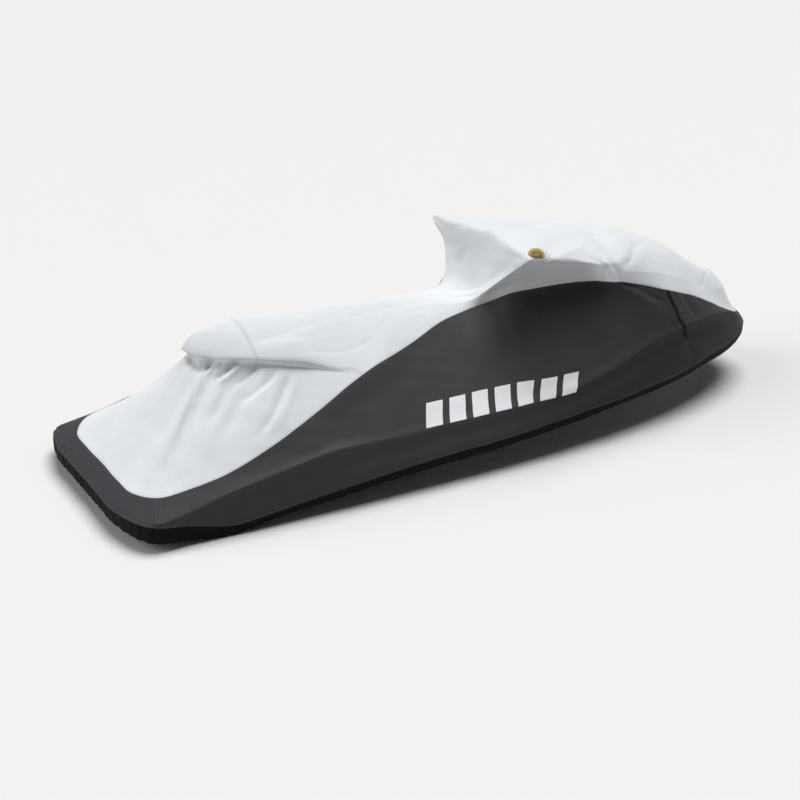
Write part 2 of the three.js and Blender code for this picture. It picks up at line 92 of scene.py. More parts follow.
# Sections from the stern centre round the quarter to the bow tip.
# y is a half breadth, and a hem y of None lies on the plan outline.
COLUMNS = (
    "hem_x", "hem_y", "spine_x", "spine_z", "edge_x", "edge_y", "edge_z", "tuck_x", "tuck_y",
    "tuck_z", "fill", "seam_x", "seam_y", "seam_z", "shoulder_x", "shoulder_y", "shoulder_z",
    "hem_z", "foot_z", "crease",
)
SECTIONS = (
    (0, 0, 512, 534, 463, 0, 474, 478, 0, 456, 18, 80, 0, 58, 22, 0, 24, 0, -62, 0.8),
    (0, 190, 530, 542, 477, 43, 468, 491, 38, 449, 16, 78, 190, 57, 22, 192, 24, 0, -62, 0.8),
    (4, 362, 552, 551, 505, 90, 463, 518, 82, 443, 12, 92, 356, 60, 24, 360, 24, 0, -64, 0.8),
    (95, None, 582, 559, 546, 127, 461, 559, 115, 441, 8, 160, 452, 68, 103, 566, 12, 0, -72, 0.8),
    (240, None, 620, 565, 590, 159, 462, 601, 146, 441, 6, 290, 486, 91, 242, 571, 30, -24, -90, 0.8),
    (400, None, 662, 567, 645, 193, 462, 653, 180, 440, 6, 425, 499, 121, 402, 570, 70, -60, -103, 0.8),
    (600, None, 704, 566, 706, 222, 457, 712, 210, 435, 6, 600, 490, 176, 604, 570, 104, -42, -74, 0.8),
    (850, None, 870, 556, 872, 268, 429, 876, 262, 408, 4, 850, 436, 264, 856, 567, 146, -14, -50, 0.6),
    (1120, None, 1120, 545, 1092, 326, 386, 1104, 344, 373, 0, 1116, 360, 362, 1128, 565, 147, 12, -27, 0.3),
    (1380, None, 1380, 531, 1384, 196, 470, 1388, 236, 443, 0, 1392, 270, 416, 1390, 560, 147, 30, -10, 0.1),
    (1620, None, 1612, 516, 1645, 112, 502, 1643, 148, 487, 0, 1640, 180, 467, 1628, 556, 147, 37, -3, 0.2),
    (1760, None, 1788, 508, 1781, 132, 507, 1774, 145, 494, 0, 1766, 156, 481, 1766, 552, 148, 44, 6, 0.6),
    (1850, None, 1866, 524, 1857, 204, 588, 1856, 190, 550, 0, 1846, 188, 510, 1856, 548, 150, 50, 12, 0.8),
    (1920, None, 1930, 610, 1896, 288, 665, 1926, 256, 604, 0, 1912, 260, 559, 1926, 544, 153, 55, 17, 0.8),
    (1985, None, 1986, 767, 1916, 410, 753, 1985, 305, 640, 0, 1966, 290, 573, 1990, 540, 158, 60, 21, 0.8),
    (2070, None, 2076, 769, 2020, 385, 731, 2052, 326, 640, 0, 2046, 298, 576, 2076, 533, 166, 66, 27, 0.8),
    (2170, None, 2182, 757, 2130, 380, 710, 2152, 341, 635, 0, 2160, 309, 577, 2176, 522, 180, 70, 35, 0.8),
    (2300, None, 2312, 745, 2246, 385, 680, 2266, 359, 622, 0, 2308, 338, 576, 2308, 505, 205, 76, 45, 0.8),
    (2420, None, 2430, 730, 2332, 378, 655, 2372, 371, 604, 0, 2428, 364, 557, 2430, 482, 238, 83, 52, 0.6),
    (2560, None, 2568, 706, 2512, 335, 643, 2538, 370, 590, 0, 2548, 389, 532, 2572, 454, 274, 90, 58, 0.1),
    (2785, None, 2744, 656, 2698, 296, 602, 2702, 354, 548, 0, 2680, 400, 490, 2776, 412, 301, 105, 72, 0),
    (2920, None, 2894, 602, 2866, 248, 548, 2874, 308, 482, 0, 2868, 350, 421, 2912, 374, 300, 124, 87, 0),
    (3080, None, 3012, 530, 3010, 192, 482, 3032, 242, 404, 0, 3050, 284, 336, 3072, 312, 284, 128, 91, 0),
    (3220, None, 3064, 494, 3112, 150, 436, 3148, 194, 354, 0, 3180, 233, 272, 3206, 250, 246, 134, 98, 0.2),
    (3340, None, 3094, 470, 3184, 104, 418, 3244, 138, 342, 0, 3302, 174, 212, 3326, 188, 190, 141, 105, 0.4),
    (3420, None, 3112, 458, 3232, 54, 410, 3292, 72, 346, 0, 3390, 96, 186, 3407, 103, 168, 147, 110, 0.4),
    (3450, None, 3124, 449, 3250, 0, 407, 3304, 0, 346, 0, 3424, 0, 188, 3437, 0, 166, 150, 113, 0.4),
)
LAST = len(SECTIONS) - 1
CORNER_SECTION = 3
CAP_SEAM_SECTION = 6
TAIL_END_SECTION = 8
RIDGE_SECTION = 14
STRAP_SECTION = 20

STARBOARD, PORT = BOTH = (-1, 1)
SIDE_NAMES = ((STARBOARD, "starboard"), (PORT, "port"))

# Folds pressed into the cloth: section and line of the places where each starts, bends and ends, its
# height at both ends, its width, and how much steeper one flank is where they differ. A height below
# nought is a trough.
STARBOARD_FOLDS = (
    # The main folds
    (3.4, 2.1, 3.05, 2.35, 2.7, 2.6, -7, -7, 42),
    (5.3, 2.1, 4.6, 2.35, 3.9, 2.6, -9, -9, 30),
    (6.1, 2.1, 5.45, 2.4, 4.8, 2.7, -8, -8, 34),
    (6.7, 2.2, 6.45, 2.5, 6.2, 2.8, 7, 7, 34),
    (1.6, 2.1, 1.5, 2.4, 1.4, 2.7, -8, -8, 30),
    (6.6, 0.5, 7.9, 0.52, 9.2, 0.55, -6, -6, 42),
    (12.4, 0.3, 13.0, 0.46, 13.6, 0.62, -8, -8, 30),
    (15.4, 0.95, 16.3, 0.72, 17.2, 0.5, 7, 7, 34),
    (18.6, 0.95, 18.5, 0.58, 18.4, 0.2, -12, -12, 46),
    (17.4, 3.15, 18.9, 3.35, 20.4, 3.55, 8, 8, 34),
    (20.6, 3.0, 20.8, 3.45, 21.0, 3.9, -6, -6, 26),
    (15.0, 3.5, 16.0, 3.62, 17.0, 3.75, -6, -6, 50),
    # Under the lip of the seat cap
    (0.4, 2.05, 1.8, 2.15, 3.0, 2.0, -17, -17, 26),
    (2.5, 2.12, 2.8, 1.9, 3.14, 1.6, -9, -9, 9),
    (2.75, 2.22, 3.05, 2.0, 3.35, 1.7, 8, 8, 9),
    (3.43, 2.25, 4.39, 2.09, 4.96, 1.75, -14, -16, 11, 0.3),
    (3.7, 2.3, 4.6, 2.19, 5.2, 1.9, 8, 8, 11),
    (4.7, 2.33, 5.65, 2.2, 6.2, 1.85, -7, -13, 13, 0.3),
    (5.2, 2.48, 6.05, 2.42, 6.36, 2.2, -6, -12, 14, 0.3),
    (5.95, 2.84, 6.4, 2.64, 6.73, 2.28, -9, -14, 17, 0.3),
    (6.3, 2.88, 6.62, 2.66, 6.92, 2.32, 4, 4, 16),
    (1.38, 2.24, 1.85, 2.4, 2.25, 2.58, -3, -2, 9),
    (1.7, 2.16, 2.2, 2.4, 3.16, 2.62, -4, -2, 9),
    (2.44, 2.74, 3.0, 2.85, 3.31, 2.98, -4, -7, 9),
    (3.09, 2.77, 3.34, 2.85, 3.57, 2.94, -3, -6, 9),
    # Along the seat
    (5.97, 0.54, 7.33, 0.34, 8.31, 0.17, -5, -3, 20, 0.3),
    (6.15, 0.7, 7.6, 0.52, 9.14, 0.6, 5, 3, 24),
    (7.0, 0.76, 7.8, 0.7, 8.7, 0.8, -3, -3, 14, 0.2),
    (8.2, 0.3, 9.2, 0.34, 10.2, 0.5, -4, -3, 22, 0.2),
    # On the rear face over the handlebar
    (13.48, -0.03, 13.59, 0.4, 13.72, 0.84, -3, -6, 13, 0.3),
    (10.92, -0.3, 11.69, 0.0, 12.29, 0.35, -5, -3, 13),
    (10.62, 0.3, 10.99, 0.45, 11.45, 0.71, -5, -4, 13),
    (12.2, 0.85, 11.6, 0.7, 10.9, 0.62, -4, -3, 15),
    # Over the top and beside the console
    (14.5, 0.8, 14.72, 0.77, 14.95, 0.74, 30, 30, 42),
    (15.4, 0.93, 16.4, 0.68, 17.9, 0.42, 5, 3, 12),
    (15.2, 0.75, 16.0, 0.5, 17.2, 0.3, -3, -2, 20),
    (17.3, 0.72, 17.72, 0.89, 18.0, 1.3, -6, -6, 9),
    (17.62, 0.66, 17.95, 0.82, 18.2, 1.05, 5, 4, 8),
    (18.3, 0.74, 17.95, 1.32, 17.5, 2.74, 8, 5, 11, 0.3),
    (18.3, 0.9, 18.3, 1.6, 18.25, 2.68, -12, -8, 15),
    (19.98, 0.5, 19.2, 0.9, 18.54, 1.46, -7, -9, 17),
    (24.2, 0.9, 22.7, 1.3, 21.6, 2.3, -4, -3, 10),
    # Where the dark panels hang from the seam
    (17.3, 3.02, 18.44, 3.22, 19.6, 3.48, 9, 8, 10, 0.3),
    (17.9, 3.03, 18.75, 3.13, 19.65, 3.33, -8, -7, 9),
    (18.32, 3.03, 19.08, 3.1, 19.8, 3.16, -4, -5, 8),
    (18.7, 3.02, 19.3, 3.05, 19.85, 3.08, -3, -4, 7),
    (18.5, 3.28, 19.15, 3.29, 19.75, 3.34, -3, -4, 8),
    (20.16, 3.03, 20.3, 3.3, 20.42, 3.6, -5, -2, 8),
    (20.55, 3.03, 20.75, 3.3, 20.9, 3.6, -4, -2, 8),
    (21.2, 3.03, 21.45, 3.25, 21.65, 3.5, -3, -1, 9),
    (19.6, 3.6, 19.72, 3.79, 19.83, 4.08, -4, -4, 8),
    (19.74, 3.55, 19.83, 3.72, 19.9, 3.95, 4, 3, 7),
    (15.5, 3.42, 16.42, 3.54, 17.3, 3.66, -5, -4, 14, 0.3),
    (11.29, 3.0, 12.23, 3.09, 13.3, 3.18, -6, -3, 13, 0.3),
    (13.6, 3.05, 14.6, 3.14, 15.8, 3.2, -5, -3, 16),
    (20.39, 4.06, 21.8, 4.02, 24.3, 3.4, 5, 4, 12, 0.3),
    # Round the stern
    (1.36, 3.53, 1.78, 4.23, 1.95, 4.9, -4, -5, 9),
    (3.19, 4.85, 4.1, 4.45, 5.01, 4.3, 4, 2, 10),
    (2.6, 3.3, 2.75, 4.1, 2.85, 4.8, -3, -4, 10),
)
PORT_FOLDS = (
    # The main folds
    (3.8, 2.1, 3.45, 2.35, 3.1, 2.6, -9, -9, 30),
    (5.6, 2.1, 5.05, 2.4, 4.5, 2.7, -8, -8, 32),
    (1.2, 2.1, 1.5, 2.35, 1.8, 2.6, -7, -7, 30),
    (7.0, 0.5, 8.3, 0.45, 9.6, 0.4, -5, -5, 46),
    (12.3, 0.5, 12.9, 0.4, 13.5, 0.3, -7, -7, 30),
    (18.4, 0.95, 18.5, 0.58, 18.6, 0.2, -10, -10, 46),
    (17.8, 3.2, 18.9, 3.35, 20.0, 3.5, 7, 7, 36),
    (20.4, 3.0, 20.6, 3.45, 20.8, 3.9, -6, -6, 26),
    (14.0, 3.5, 15.2, 3.6, 16.4, 3.7, -6, -6, 50),
    # Under the lip of the seat cap
    (0.3, 2.0, 1.5, 2.14, 2.8, 2.0, -11, -11, 24),
    (2.9, 2.3, 3.5, 2.1, 4.0, 1.75, -5, -8, 10, 0.3),
    (4.3, 2.36, 5.2, 2.2, 5.7, 1.85, -4, -9, 13, 0.2),
    (5.1, 2.62, 5.9, 2.45, 6.3, 2.2, -4, -7, 15, 0.2),
    (5.9, 2.8, 6.3, 2.6, 6.6, 2.3, -5, -9, 18, 0.3),
    (1.2, 2.2, 1.7, 2.4, 2.0, 2.66, -3, -2, 10),
    (2.7, 2.72, 3.1, 2.84, 3.4, 2.96, -2, -4, 9),
    # Along the seat
    (6.1, 0.6, 7.4, 0.42, 8.5, 0.3, -5, -3, 20, 0.3),
    (7.2, 0.8, 8.1, 0.74, 9.0, 0.9, -4, -4, 16, 0.2),
    # On the rear face over the handlebar
    (13.2, 0.78, 13.59, 0.54, 14.04, 0.32, -4, -2, 11, 0.2),
    (13.25, 0.68, 13.37, 0.34, 13.48, -0.03, -6, -3, 11, 0.3),
    (13.9, 0.94, 13.75, 0.8, 13.55, 0.62, -7, -3, 9),
    (12.3, 0.9, 11.7, 0.72, 11.0, 0.45, -4, -3, 13),
    # Over the top and beside the console
    (14.4, 0.8, 14.6, 0.77, 14.8, 0.74, 8, 8, 40),
    (15.6, 0.9, 16.5, 0.62, 17.6, 0.5, 4, 3, 13),
    (18.1, 0.8, 17.9, 1.4, 17.7, 2.6, 7, 5, 12, 0.3),
    (18.5, 0.9, 18.45, 1.6, 18.3, 2.6, -10, -7, 16),
    (19.8, 0.5, 19.1, 0.85, 18.7, 1.4, -7, -8, 18),
    # Where the dark panels hang from the seam
    (17.6, 3.03, 18.6, 3.24, 19.65, 3.44, 6, 5, 11, 0.3),
    (18.4, 3.04, 19.1, 3.12, 19.8, 3.18, -4, -5, 9),
    (18.9, 3.26, 19.3, 3.3, 19.8, 3.3, -3, -4, 8),
    (20.2, 3.04, 20.4, 3.4, 20.55, 3.8, -5, -3, 10),
    (20.8, 3.05, 21.0, 3.4, 21.3, 3.8, -4, -3, 10),
    (15.0, 3.4, 16.0, 3.52, 17.1, 3.6, -5, -4, 15, 0.3),
    (11.4, 3.02, 12.4, 3.1, 13.4, 3.2, -6, -3, 14, 0.3),
    # Round the stern
    (1.6, 2.1, 3.2, 2.55, 5.4, 2.88, -24, -28, 130),
    (2.03, 4.9, 1.51, 4.04, 1.15, 3.53, -4, -3, 9),
    (2.5, 3.4, 2.7, 4.0, 2.9, 4.8, -3, -5, 10),
)
PAIRED_FOLDS = (
    # Along the shoulder
    (3.6, 3.75, 6.5, 4.1, 9.6, 4.12, 6, 6, 24),
    (9.0, 4.12, 12.6, 4.08, 17.2, 3.97, 5, 8, 28),
    (16.4, 3.97, 19.4, 3.97, 22.2, 4.02, 11, 11, 27),
    (21.4, 4.03, 23.2, 3.86, 25.4, 3.36, 9, 6, 20),
    (4.2, 4.4, 7.0, 4.5, 10.2, 4.52, -5, -5, 36),
    (9.6, 4.5, 13.2, 4.5, 17.4, 4.38, -5, -7, 36),
    (16.8, 4.36, 19.5, 4.38, 22.6, 4.42, -8, -7, 34),
)

# How many numbers of a fold are its three places, and how many come before its lean
FOLD_PLACES = 6
FOLD_SIZES = 9
# Points along a fold's run
FOLD_STEPS = 9
# At each end a fold rises over the first share of its run, and starts as if the second were past
FOLD_FADE = 0.3
FOLD_START = 0.08
# A fold is felt as far as this many of its widths
FOLD_REACH = 3

# Where the side panels are drawn tight: from and to which sections, how far from their edges, and
# over how many sections the hollows are evened out
TIGHT_FROM = (4, 6)
TIGHT_TO = (16, 19)
TIGHT_RUN = 0.4
TIGHT_REACH = 1.3

# Small gathers that run off a line of the cloth and die out over their reach.
# With a reach below nought they grow away from the line instead.
GATHER_COLUMNS = ("line", "towards", "from_section", "to_section", "pitch", "height", "reach")
GATHERS = (
    (TUCK, 1, 0, 7, 34, 1.2, 70),
    (SEAM, 1, 18.4, 22.5, 24, 1.6, 55),
    (HEM, -1, 0, 3.4, 58, 1.6, 60),
    (HEM, 1, 0, 3.4, 46, 2.4, 400),
    (HEM, 1, 0, 26, 90, 1.2, 400),
    (HEM, 1, 0, 26, 24, 1.5, -40),
)
# How the gathers wander, slant and vary, with the pitches counted in gathers
GATHER_DRIFT = 2.2
GATHER_SLANT = 0.4
GATHER_DRIFT_PITCH = 9
GATHER_DRIFT_SEED = 5
GATHER_LEAST = 0.55
GATHER_VARIATION = 0.45
GATHER_VARIATION_PITCH = 5
GATHER_VARIATION_SEED = 8
GATHER_ENDS = 0.6
GATHER_FADE = 1.5

# Small unevenness of all the cloth: height, pitch and seed. It dies out between two lines at the hem.
UNEVENNESS = ((1.5, 260, 3), (0.6, 95, 4))
UNEVEN_UNTIL = (FOOT + 0.2, HEM - 0.5)
RIPPLE_WAVES = 14
RIPPLE_SPREAD = (0.6, 1.5)

# Painted shade: the cloth's colour is darkened where it hangs in shade, under the overhang, the seam and the
# shoulder: how much, then the lines and the sections over which this begins and ends. The last row's ends lie
# beyond the hem and the bow, so it goes on to both.
PAINTED_SHADE_ZONES = (
    (0.62, ((EDGE + 0.03, EDGE + 0.12), (SEAM - 0.01, SEAM)), ((10.6, 11.6), (16.6, 18))),
    (0.8, ((SEAM, SEAM + 0.02), (SEAM + 0.12, SEAM + 0.6)), ((12, 14.2), (17, 19))),
    (0.6, ((SHOULDER - 0.02, SHOULDER + 0.06), (8, 9)), ((8, 17), (LAST + 1, LAST + 2))),
)

# Rows of the cloth beside a sewn edge, in millimetres from it
EDGE_ROWS = np.array((14, 9, 5, 2, 0.15))
EDGE_REACH = 20
SECTION_PITCH = 170
# Where two lines are nearer than this many reaches, those rows draw together
EDGE_ROOM = 2.5

# Cells between two neighbouring lines, and from one section to the next
LINE_CELLS = {SPINE: 34, EDGE: 8, TUCK: 18, SEAM: 46, SHOULDER: 20, HEM: 10, FOOT: 8}
SECTION_CELLS = 16
SIDE_SECTION_CELLS = 22
TAIL_SECTION_CELLS = 26
TAIL_FINENESS = 2.4
HEM_SECTION_CELLS = 32

# Points nearer than this are one, in metres
WELD = 0.000005

# Steps of a line's length for each section, a small step over the cloth in sections or lines, and the
# distance past which a seam doesn't count, in millimetres
RUN_STEPS = 20
STEP = 0.02
FAR = 1000

# How the cloth stands at a seam: a raised band with a sewn groove along its edge
SEAM_BAND = 11
SEAM_SLOPE = 3
SEAM_RAISE = 0.25
SEAM_DIP = 0.45
SEAM_GROOVE = 1.8

# Edges that turn by more than this stay sharp, in degrees
SHARP_ANGLE = 50


def half_beam(x):
    if x < WIDEST_AT:
        back = (WIDEST_AT - x) / (WIDEST_AT - CORNER_AT)
        return BEAM / 2 - (BEAM / 2 - CORNER_HALF_BEAM) * back ** 2
    forward = (x - WIDEST_AT) / (LENGTH - WIDEST_AT)
    return BEAM / 2 * math.sqrt(max(0, 1 - forward ** BOW_FULLNESS))


def section_points(values):
    """The eight points of one section, with y as a half breadth."""
    s = dict(zip(COLUMNS, values))
    hem_y = half_beam(s["hem_x"]) if s["hem_y"] is None else s["hem_y"]
    hem = np.array((s["hem_x"], hem_y))
    middle = np.array((s["seam_x"] + (s["hem_x"] - s["seam_x"]) * HEM_AIM, 0))
    inward = np.array((1, 0)) if s["hem_x"] < CORNER_AT else (middle - hem) / math.dist(middle, hem)
    foot = hem + inward * HEM_TURN
    inner = hem + inward * HEM_TUCK
    upper = [[s[f"{line}_{axis}"] for axis in "xyz"] for line in ("edge", "tuck", "seam", "shoulder")]
    return [
        (s["spine_x"], 0, s["spine_z"]),
        *upper,
        (*hem, s["hem_z"]),
        (*foot, s["foot_z"]),
        (*inner, s["foot_z"] + HEM_RISE),
    ]


def length_of(vectors):
    return np.linalg.norm(vectors, axis=-1, keepdims=True)


def slope_at(before, at, after, crease):
    """Slope of a curve at a point between two neighbours, for an even walk along its chords."""
    a = np.maximum(length_of(at - before), 1)
    b = np.maximum(length_of(after - at), 1)
    return ((at - before) * b / a + (after - at) * a / b) * (1 - crease) / (a + b)


def hermite(start, end, slope_start, slope_end, t):
    span = length_of(end - start)
    t2 = t * t
    t3 = t2 * t
    return (
        start * (2 * t3 - 3 * t2 + 1)
        + slope_start * (t3 - 2 * t2 + t) * span
        + end * (3 * t2 - 2 * t3)
        + slope_end * (t3 - t2) * span
    )


def smoothstep(low, high, value):
    t = np.clip((value - low) / (high - low), 0, 1)
    return t * t * (3 - 2 * t)


def plateau(value, rise, fall):
    """One between two soft ends of a range, and nought beyond them."""
    return smoothstep(*rise, value) * (1 - smoothstep(*fall, value))


class Form:
    """The smooth form of the cover: one half of it over the sections and the lines."""

    def __init__(self):
        net = np.array([section_points(values) for values in SECTIONS], dtype=float)
        flip = np.array((1, -1, 1))
        # A mirrored section stands before the first and after the last, where the halves meet
        self.net = np.concatenate([net[1:2] * flip, net, net[-2:-1] * flip])
        column = {name: [values[i] for values in SECTIONS] for i, name in enumerate(COLUMNS)}
        self.fill = np.array([column["fill"][1], *column["fill"], column["fill"][-2]])
        crease = [column["crease"][1], *column["crease"], column["crease"][-2]]
        self.slopes = np.zeros_like(self.net)
        for i in range(1, LAST + 2):
            points = self.net[i]
            self.slopes[i, SPINE] = self.spine_slope(i)
            for line in range(EDGE, INNER):
                sharp = {EDGE: crease[i], SEAM: self.seam_crease(i - 1)}.get(line, LINE_CREASE[line])
                self.slopes[i, line] = slope_at(points[line - 1], points[line], points[line + 1], sharp)
            inward = points[INNER] - points[FOOT]
            self.slopes[i, INNER] = inward / np.linalg.norm(inward)
        self.slopes[0] = self.slopes[2] * flip
        self.slopes[-1] = self.slopes[-3] * flip

    def seam_crease(self, section):
        """The cloth runs straight down from the seam where the side panels hang from the top."""
        return SEAM_CREASE * plateau(section, SEAM_CREASE_FROM, SEAM_CREASE_TO)

    def spine_slope(self, i):
        """Level across the centre line, and with the spine's fall along it."""
        across = self.net[i, EDGE] - self.net[i, SPINE]
        across[2] = 0
        across /= np.linalg.norm(across)
        before = self.net[max(1, i - 1), SPINE]
        after = self.net[min(LAST + 1, i + 1), SPINE]
        across[2] = (after[2] - before[2]) / (after[0] - before[0]) * across[0]
        return across

    def profile(self, index, line):
        """Points of whole sections at any place along their lines."""
        start = np.clip(np.floor(line).astype(int), 0, FOOT)
        t = (line - start)[..., None]
        high = self.net[index, start]
        low = self.net[index, start + 1]
        points = hermite(high, low, self.slopes[index, start], self.slopes[index, start + 1], t)
        level = (low - high) * np.array((1, 1, 0))
        run = np.maximum(length_of(level), 1e-6)
        out = level / run * (high - low)[..., 2:]
        out[..., 2] = run[..., 0]
        out /= length_of(out)
        swell = np.where(start == TUCK, self.fill[index], 0)[..., None] * 4 * t * (1 - t)
        return points + out * swell

    def half(self, section, line):
        """Points of the half before its folds, with y as a half breadth.

        The long panels along the sides are drawn tight, so hollows between sections are evened out.
        """
        below = plateau(line, (SEAM, SEAM + TIGHT_RUN), (SHOULDER - TIGHT_RUN, SHOULDER))
        share = 0.5 * (below * plateau(section, TIGHT_FROM, TIGHT_TO))[..., None]
        around = (self.place(section - TIGHT_REACH, line) + self.place(section + TIGHT_REACH, line)) / 2
        return self.place(section, line) * (1 - share) + around * share

    def place(self, section, line):
        """Points of the half as the sections give them."""
        section = np.clip(section, 0, LAST)
        line = np.clip(line, SPINE, INNER)
        start = np.clip(np.floor(section).astype(int), 0, LAST - 1)
        a, b, c, d = (self.profile(start + k, line) for k in range(4))
        ridge = line <= EDGE
        crease = RIDGE_CREASE * ((start == RIDGE_SECTION) & ridge)[..., None]
        next_crease = RIDGE_CREASE * ((start + 1 == RIDGE_SECTION) & ridge)[..., None]
        slope_b = slope_at(a, b, c, crease)
        slope_c = slope_at(b, c, d, next_crease)
        return hermite(b, c, slope_b, slope_c, (section - start)[..., None])

    def normal(self, section, line):
        """Unit normals out of the half."""
        step = 0.01
        on_centre = (line <= SPINE) | (section <= 0) | (section >= LAST)
        section = np.clip(section, 2 * step, LAST - 2 * step)
        line = np.clip(line, 2 * step, INNER - 2 * step)
        along = self.half(section + step, line) - self.half(section - step, line)
        down = self.half(section, line + step) - self.half(section, line - step)
        out = np.cross(along, down)
        out[..., 1] = np.where(on_centre, 0, out[..., 1])
        return out / length_of(out)


FORM = Form()


def run_length(line):
    """Distance along a line of the cover at each of many sections, in millimetres."""
    sections = np.linspace(0, LAST, LAST * RUN_STEPS + 1)
    points = FORM.half(sections, np.full_like(sections, line))
    return sections, np.concatenate([[0], np.cumsum(np.linalg.norm(np.diff(points, axis=0), axis=1))])


class Fold:
    """One soft trough or ridge along a curved run on the cloth."""

    def __init__(self, side, *row):
        start, middle, end = np.reshape(row[:FOLD_PLACES], (3, 2))
        self.start_height, self.end_height, self.width = row[FOLD_PLACES:FOLD_SIZES]
        self.lean = row[FOLD_SIZES] if len(row) > FOLD_SIZES else 0
        t = np.linspace(0, 1, FOLD_STEPS)
        bend = 2 * middle - (start + end) / 2
        places = np.outer((1 - t) ** 2, start) + np.outer(2 * t * (1 - t), bend) + np.outer(t ** 2, end)
        sided = np.ones((len(t), 3))
        sided[:, 1] = np.where(places[:, 1] < 0, -side, side)
        self.run = FORM.half(places[:, 0], np.abs(places[:, 1])) * sided
        self.across = FORM.normal(places[:, 0], np.abs(places[:, 1])) * sided

    def lift(self, points):
        """Height of this fold at each point of the smooth cover."""
        lift = np.zeros(len(points))
        reach = FOLD_REACH * self.width
        near = np.all(
            (points > self.run.min(axis=0) - reach) & (points < self.run.max(axis=0) + reach), axis=1
        )
        if not near.any():
            return lift
        p = points[near]
        distance = np.full(len(p), np.inf)
        along = np.zeros(len(p))
        sign = np.zeros(len(p))
        steps = np.linalg.norm(np.diff(self.run, axis=0), axis=1)
        done = np.concatenate([[0], np.cumsum(steps)])
        for k, step in enumerate(steps):
            a, b = self.run[k], self.run[k + 1]
            t = np.clip((p - a) @ (b - a) / step ** 2, 0, 1)
            offset = p - a - t[:, None] * (b - a)
            d = np.linalg.norm(offset, axis=1)
            closer = d < distance
            distance[closer] = d[closer]
            along[closer] = (done[k] + t[closer] * step) / done[-1]
            sign[closer] = np.sign(offset[closer] @ np.cross(b - a, self.across[k]))
        height = self.start_height + (self.end_height - self.start_height) * along
        fade = smoothstep(0, FOLD_FADE, np.minimum(along, 1 - along) + FOLD_START)
        steep = 1 + self.lean * np.tanh(sign * distance / self.width)
        lift[near] = height * fade * np.exp(-((distance * steep / self.width) ** 2))
        return lift


FOLDS = [
    Fold(side, *row)
    for sides, rows in (((STARBOARD,), STARBOARD_FOLDS), ((PORT,), PORT_FOLDS), (BOTH, PAIRED_FOLDS))
    for side in sides
    for row in rows
]


def ripple(points, pitch, seed):
    """Smooth uneven waves of about one unit in height, from a few seeded plane waves."""
    rng = np.random.default_rng(seed)
    turns = rng.normal(size=(RIPPLE_WAVES, 3))
    turns /= np.linalg.norm(turns, axis=1, keepdims=True)
    turns *= rng.uniform(*RIPPLE_SPREAD, size=(RIPPLE_WAVES, 1)) * 2 * math.pi / pitch
    phases = rng.uniform(0, 2 * math.pi, size=RIPPLE_WAVES)
    return np.sin(points @ turns.T + phases).sum(axis=1) / math.sqrt(RIPPLE_WAVES)


def gather_lift(section, line, points):
    """Height of the small gathers at each point of the half."""
    lift = np.zeros(len(points))
    for values in GATHERS:
        g = dict(zip(GATHER_COLUMNS, values))
        beyond = (line - g["line"]) * g["towards"]
        near = (beyond >= 0) & (section >= g["from_section"]) & (section <= g["to_section"])
        if not near.any():
            continue
        s = section[near]
        root = FORM.half(s, np.full_like(s, g["line"]))
        distance = np.linalg.norm(points[near] - root, axis=1)
        along = np.interp(s, *run_length(g["line"]))
        level = np.zeros_like(along)
        slanted = np.column_stack([along, level, distance * GATHER_SLANT])
        drift = GATHER_DRIFT * ripple(slanted, GATHER_DRIFT_PITCH * g["pitch"], GATHER_DRIFT_SEED)
        straight = np.column_stack([along, level, level])
        variation = ripple(straight, GATHER_VARIATION_PITCH * g["pitch"], GATHER_VARIATION_SEED)
        uneven = GATHER_LEAST + GATHER_VARIATION * variation
        wave = np.sin(2 * math.pi * along / g["pitch"] + drift) * uneven
        if g["from_section"] > 0:
            wave *= smoothstep(0, GATHER_ENDS, s - g["from_section"])
        if g["to_section"] < LAST:
            wave *= smoothstep(0, GATHER_ENDS, g["to_section"] - s)
        fade = np.exp(-((distance / abs(g["reach"])) ** GATHER_FADE))
        lift[near] += g["height"] * wave * (fade if g["reach"] > 0 else 1 - fade)
    return lift


def drape(side, section, line):
    """Points of one side of the folded cloth in millimetres, and their normals."""
    half = FORM.half(section, line)
    sided = np.array((1, side, 1))
    points = half * sided
    normals = FORM.normal(section, line) * sided
    height = sum(size * ripple(points, pitch, seed) for size, pitch, seed in UNEVENNESS)
    height *= smoothstep(*UNEVEN_UNTIL, line)
    height += sum(fold.lift(points) for fold in FOLDS)
    height += gather_lift(section, line, half)
    points = points + normals * height[:, None]
    along = np.maximum(0, 1 - section / TAIL_LEAN_SECTIONS)
    across = np.maximum(0, 1 - np.abs(line - SEAM) / (SEAM - EDGE))
    points[:, 1] -= TAIL_LEAN * along * across ** 2 * (3 - 2 * across)
    return points, normals


def painted_shade(section, line):
    """How much painted shade darkens the cloth's colour at each place, from 0 to 1."""
    return sum(
        share * plateau(line, *lines) * plateau(section, *sections)
        for share, lines, sections in PAINTED_SHADE_ZONES
    )


def seam_distance(section, line, sewn):
    """Distance to the nearest sewn edge and the place along it, in millimetres."""
    half = FORM.half(section, line)
    nearest = np.full(len(section), float(FAR))
    along = np.zeros(len(section))
    for kind, value, low, high in sewn:
        if kind == "line":
            at = np.clip(section, low, high)
            root = FORM.half(at, np.full_like(line, value))
            place = np.interp(at, *run_length(value))
        else:
            at = np.clip(line, low, high)
            root = FORM.half(np.full_like(section, value), at)
            start = FORM.half(np.array([value], dtype=float), np.array([low], dtype=float))[0]
            place = np.linalg.norm(root - start, axis=1)
        distance = np.linalg.norm(half - root, axis=1)
        closer = distance < nearest
        nearest[closer] = distance[closer]
        along[closer] = place[closer]
    return nearest, along


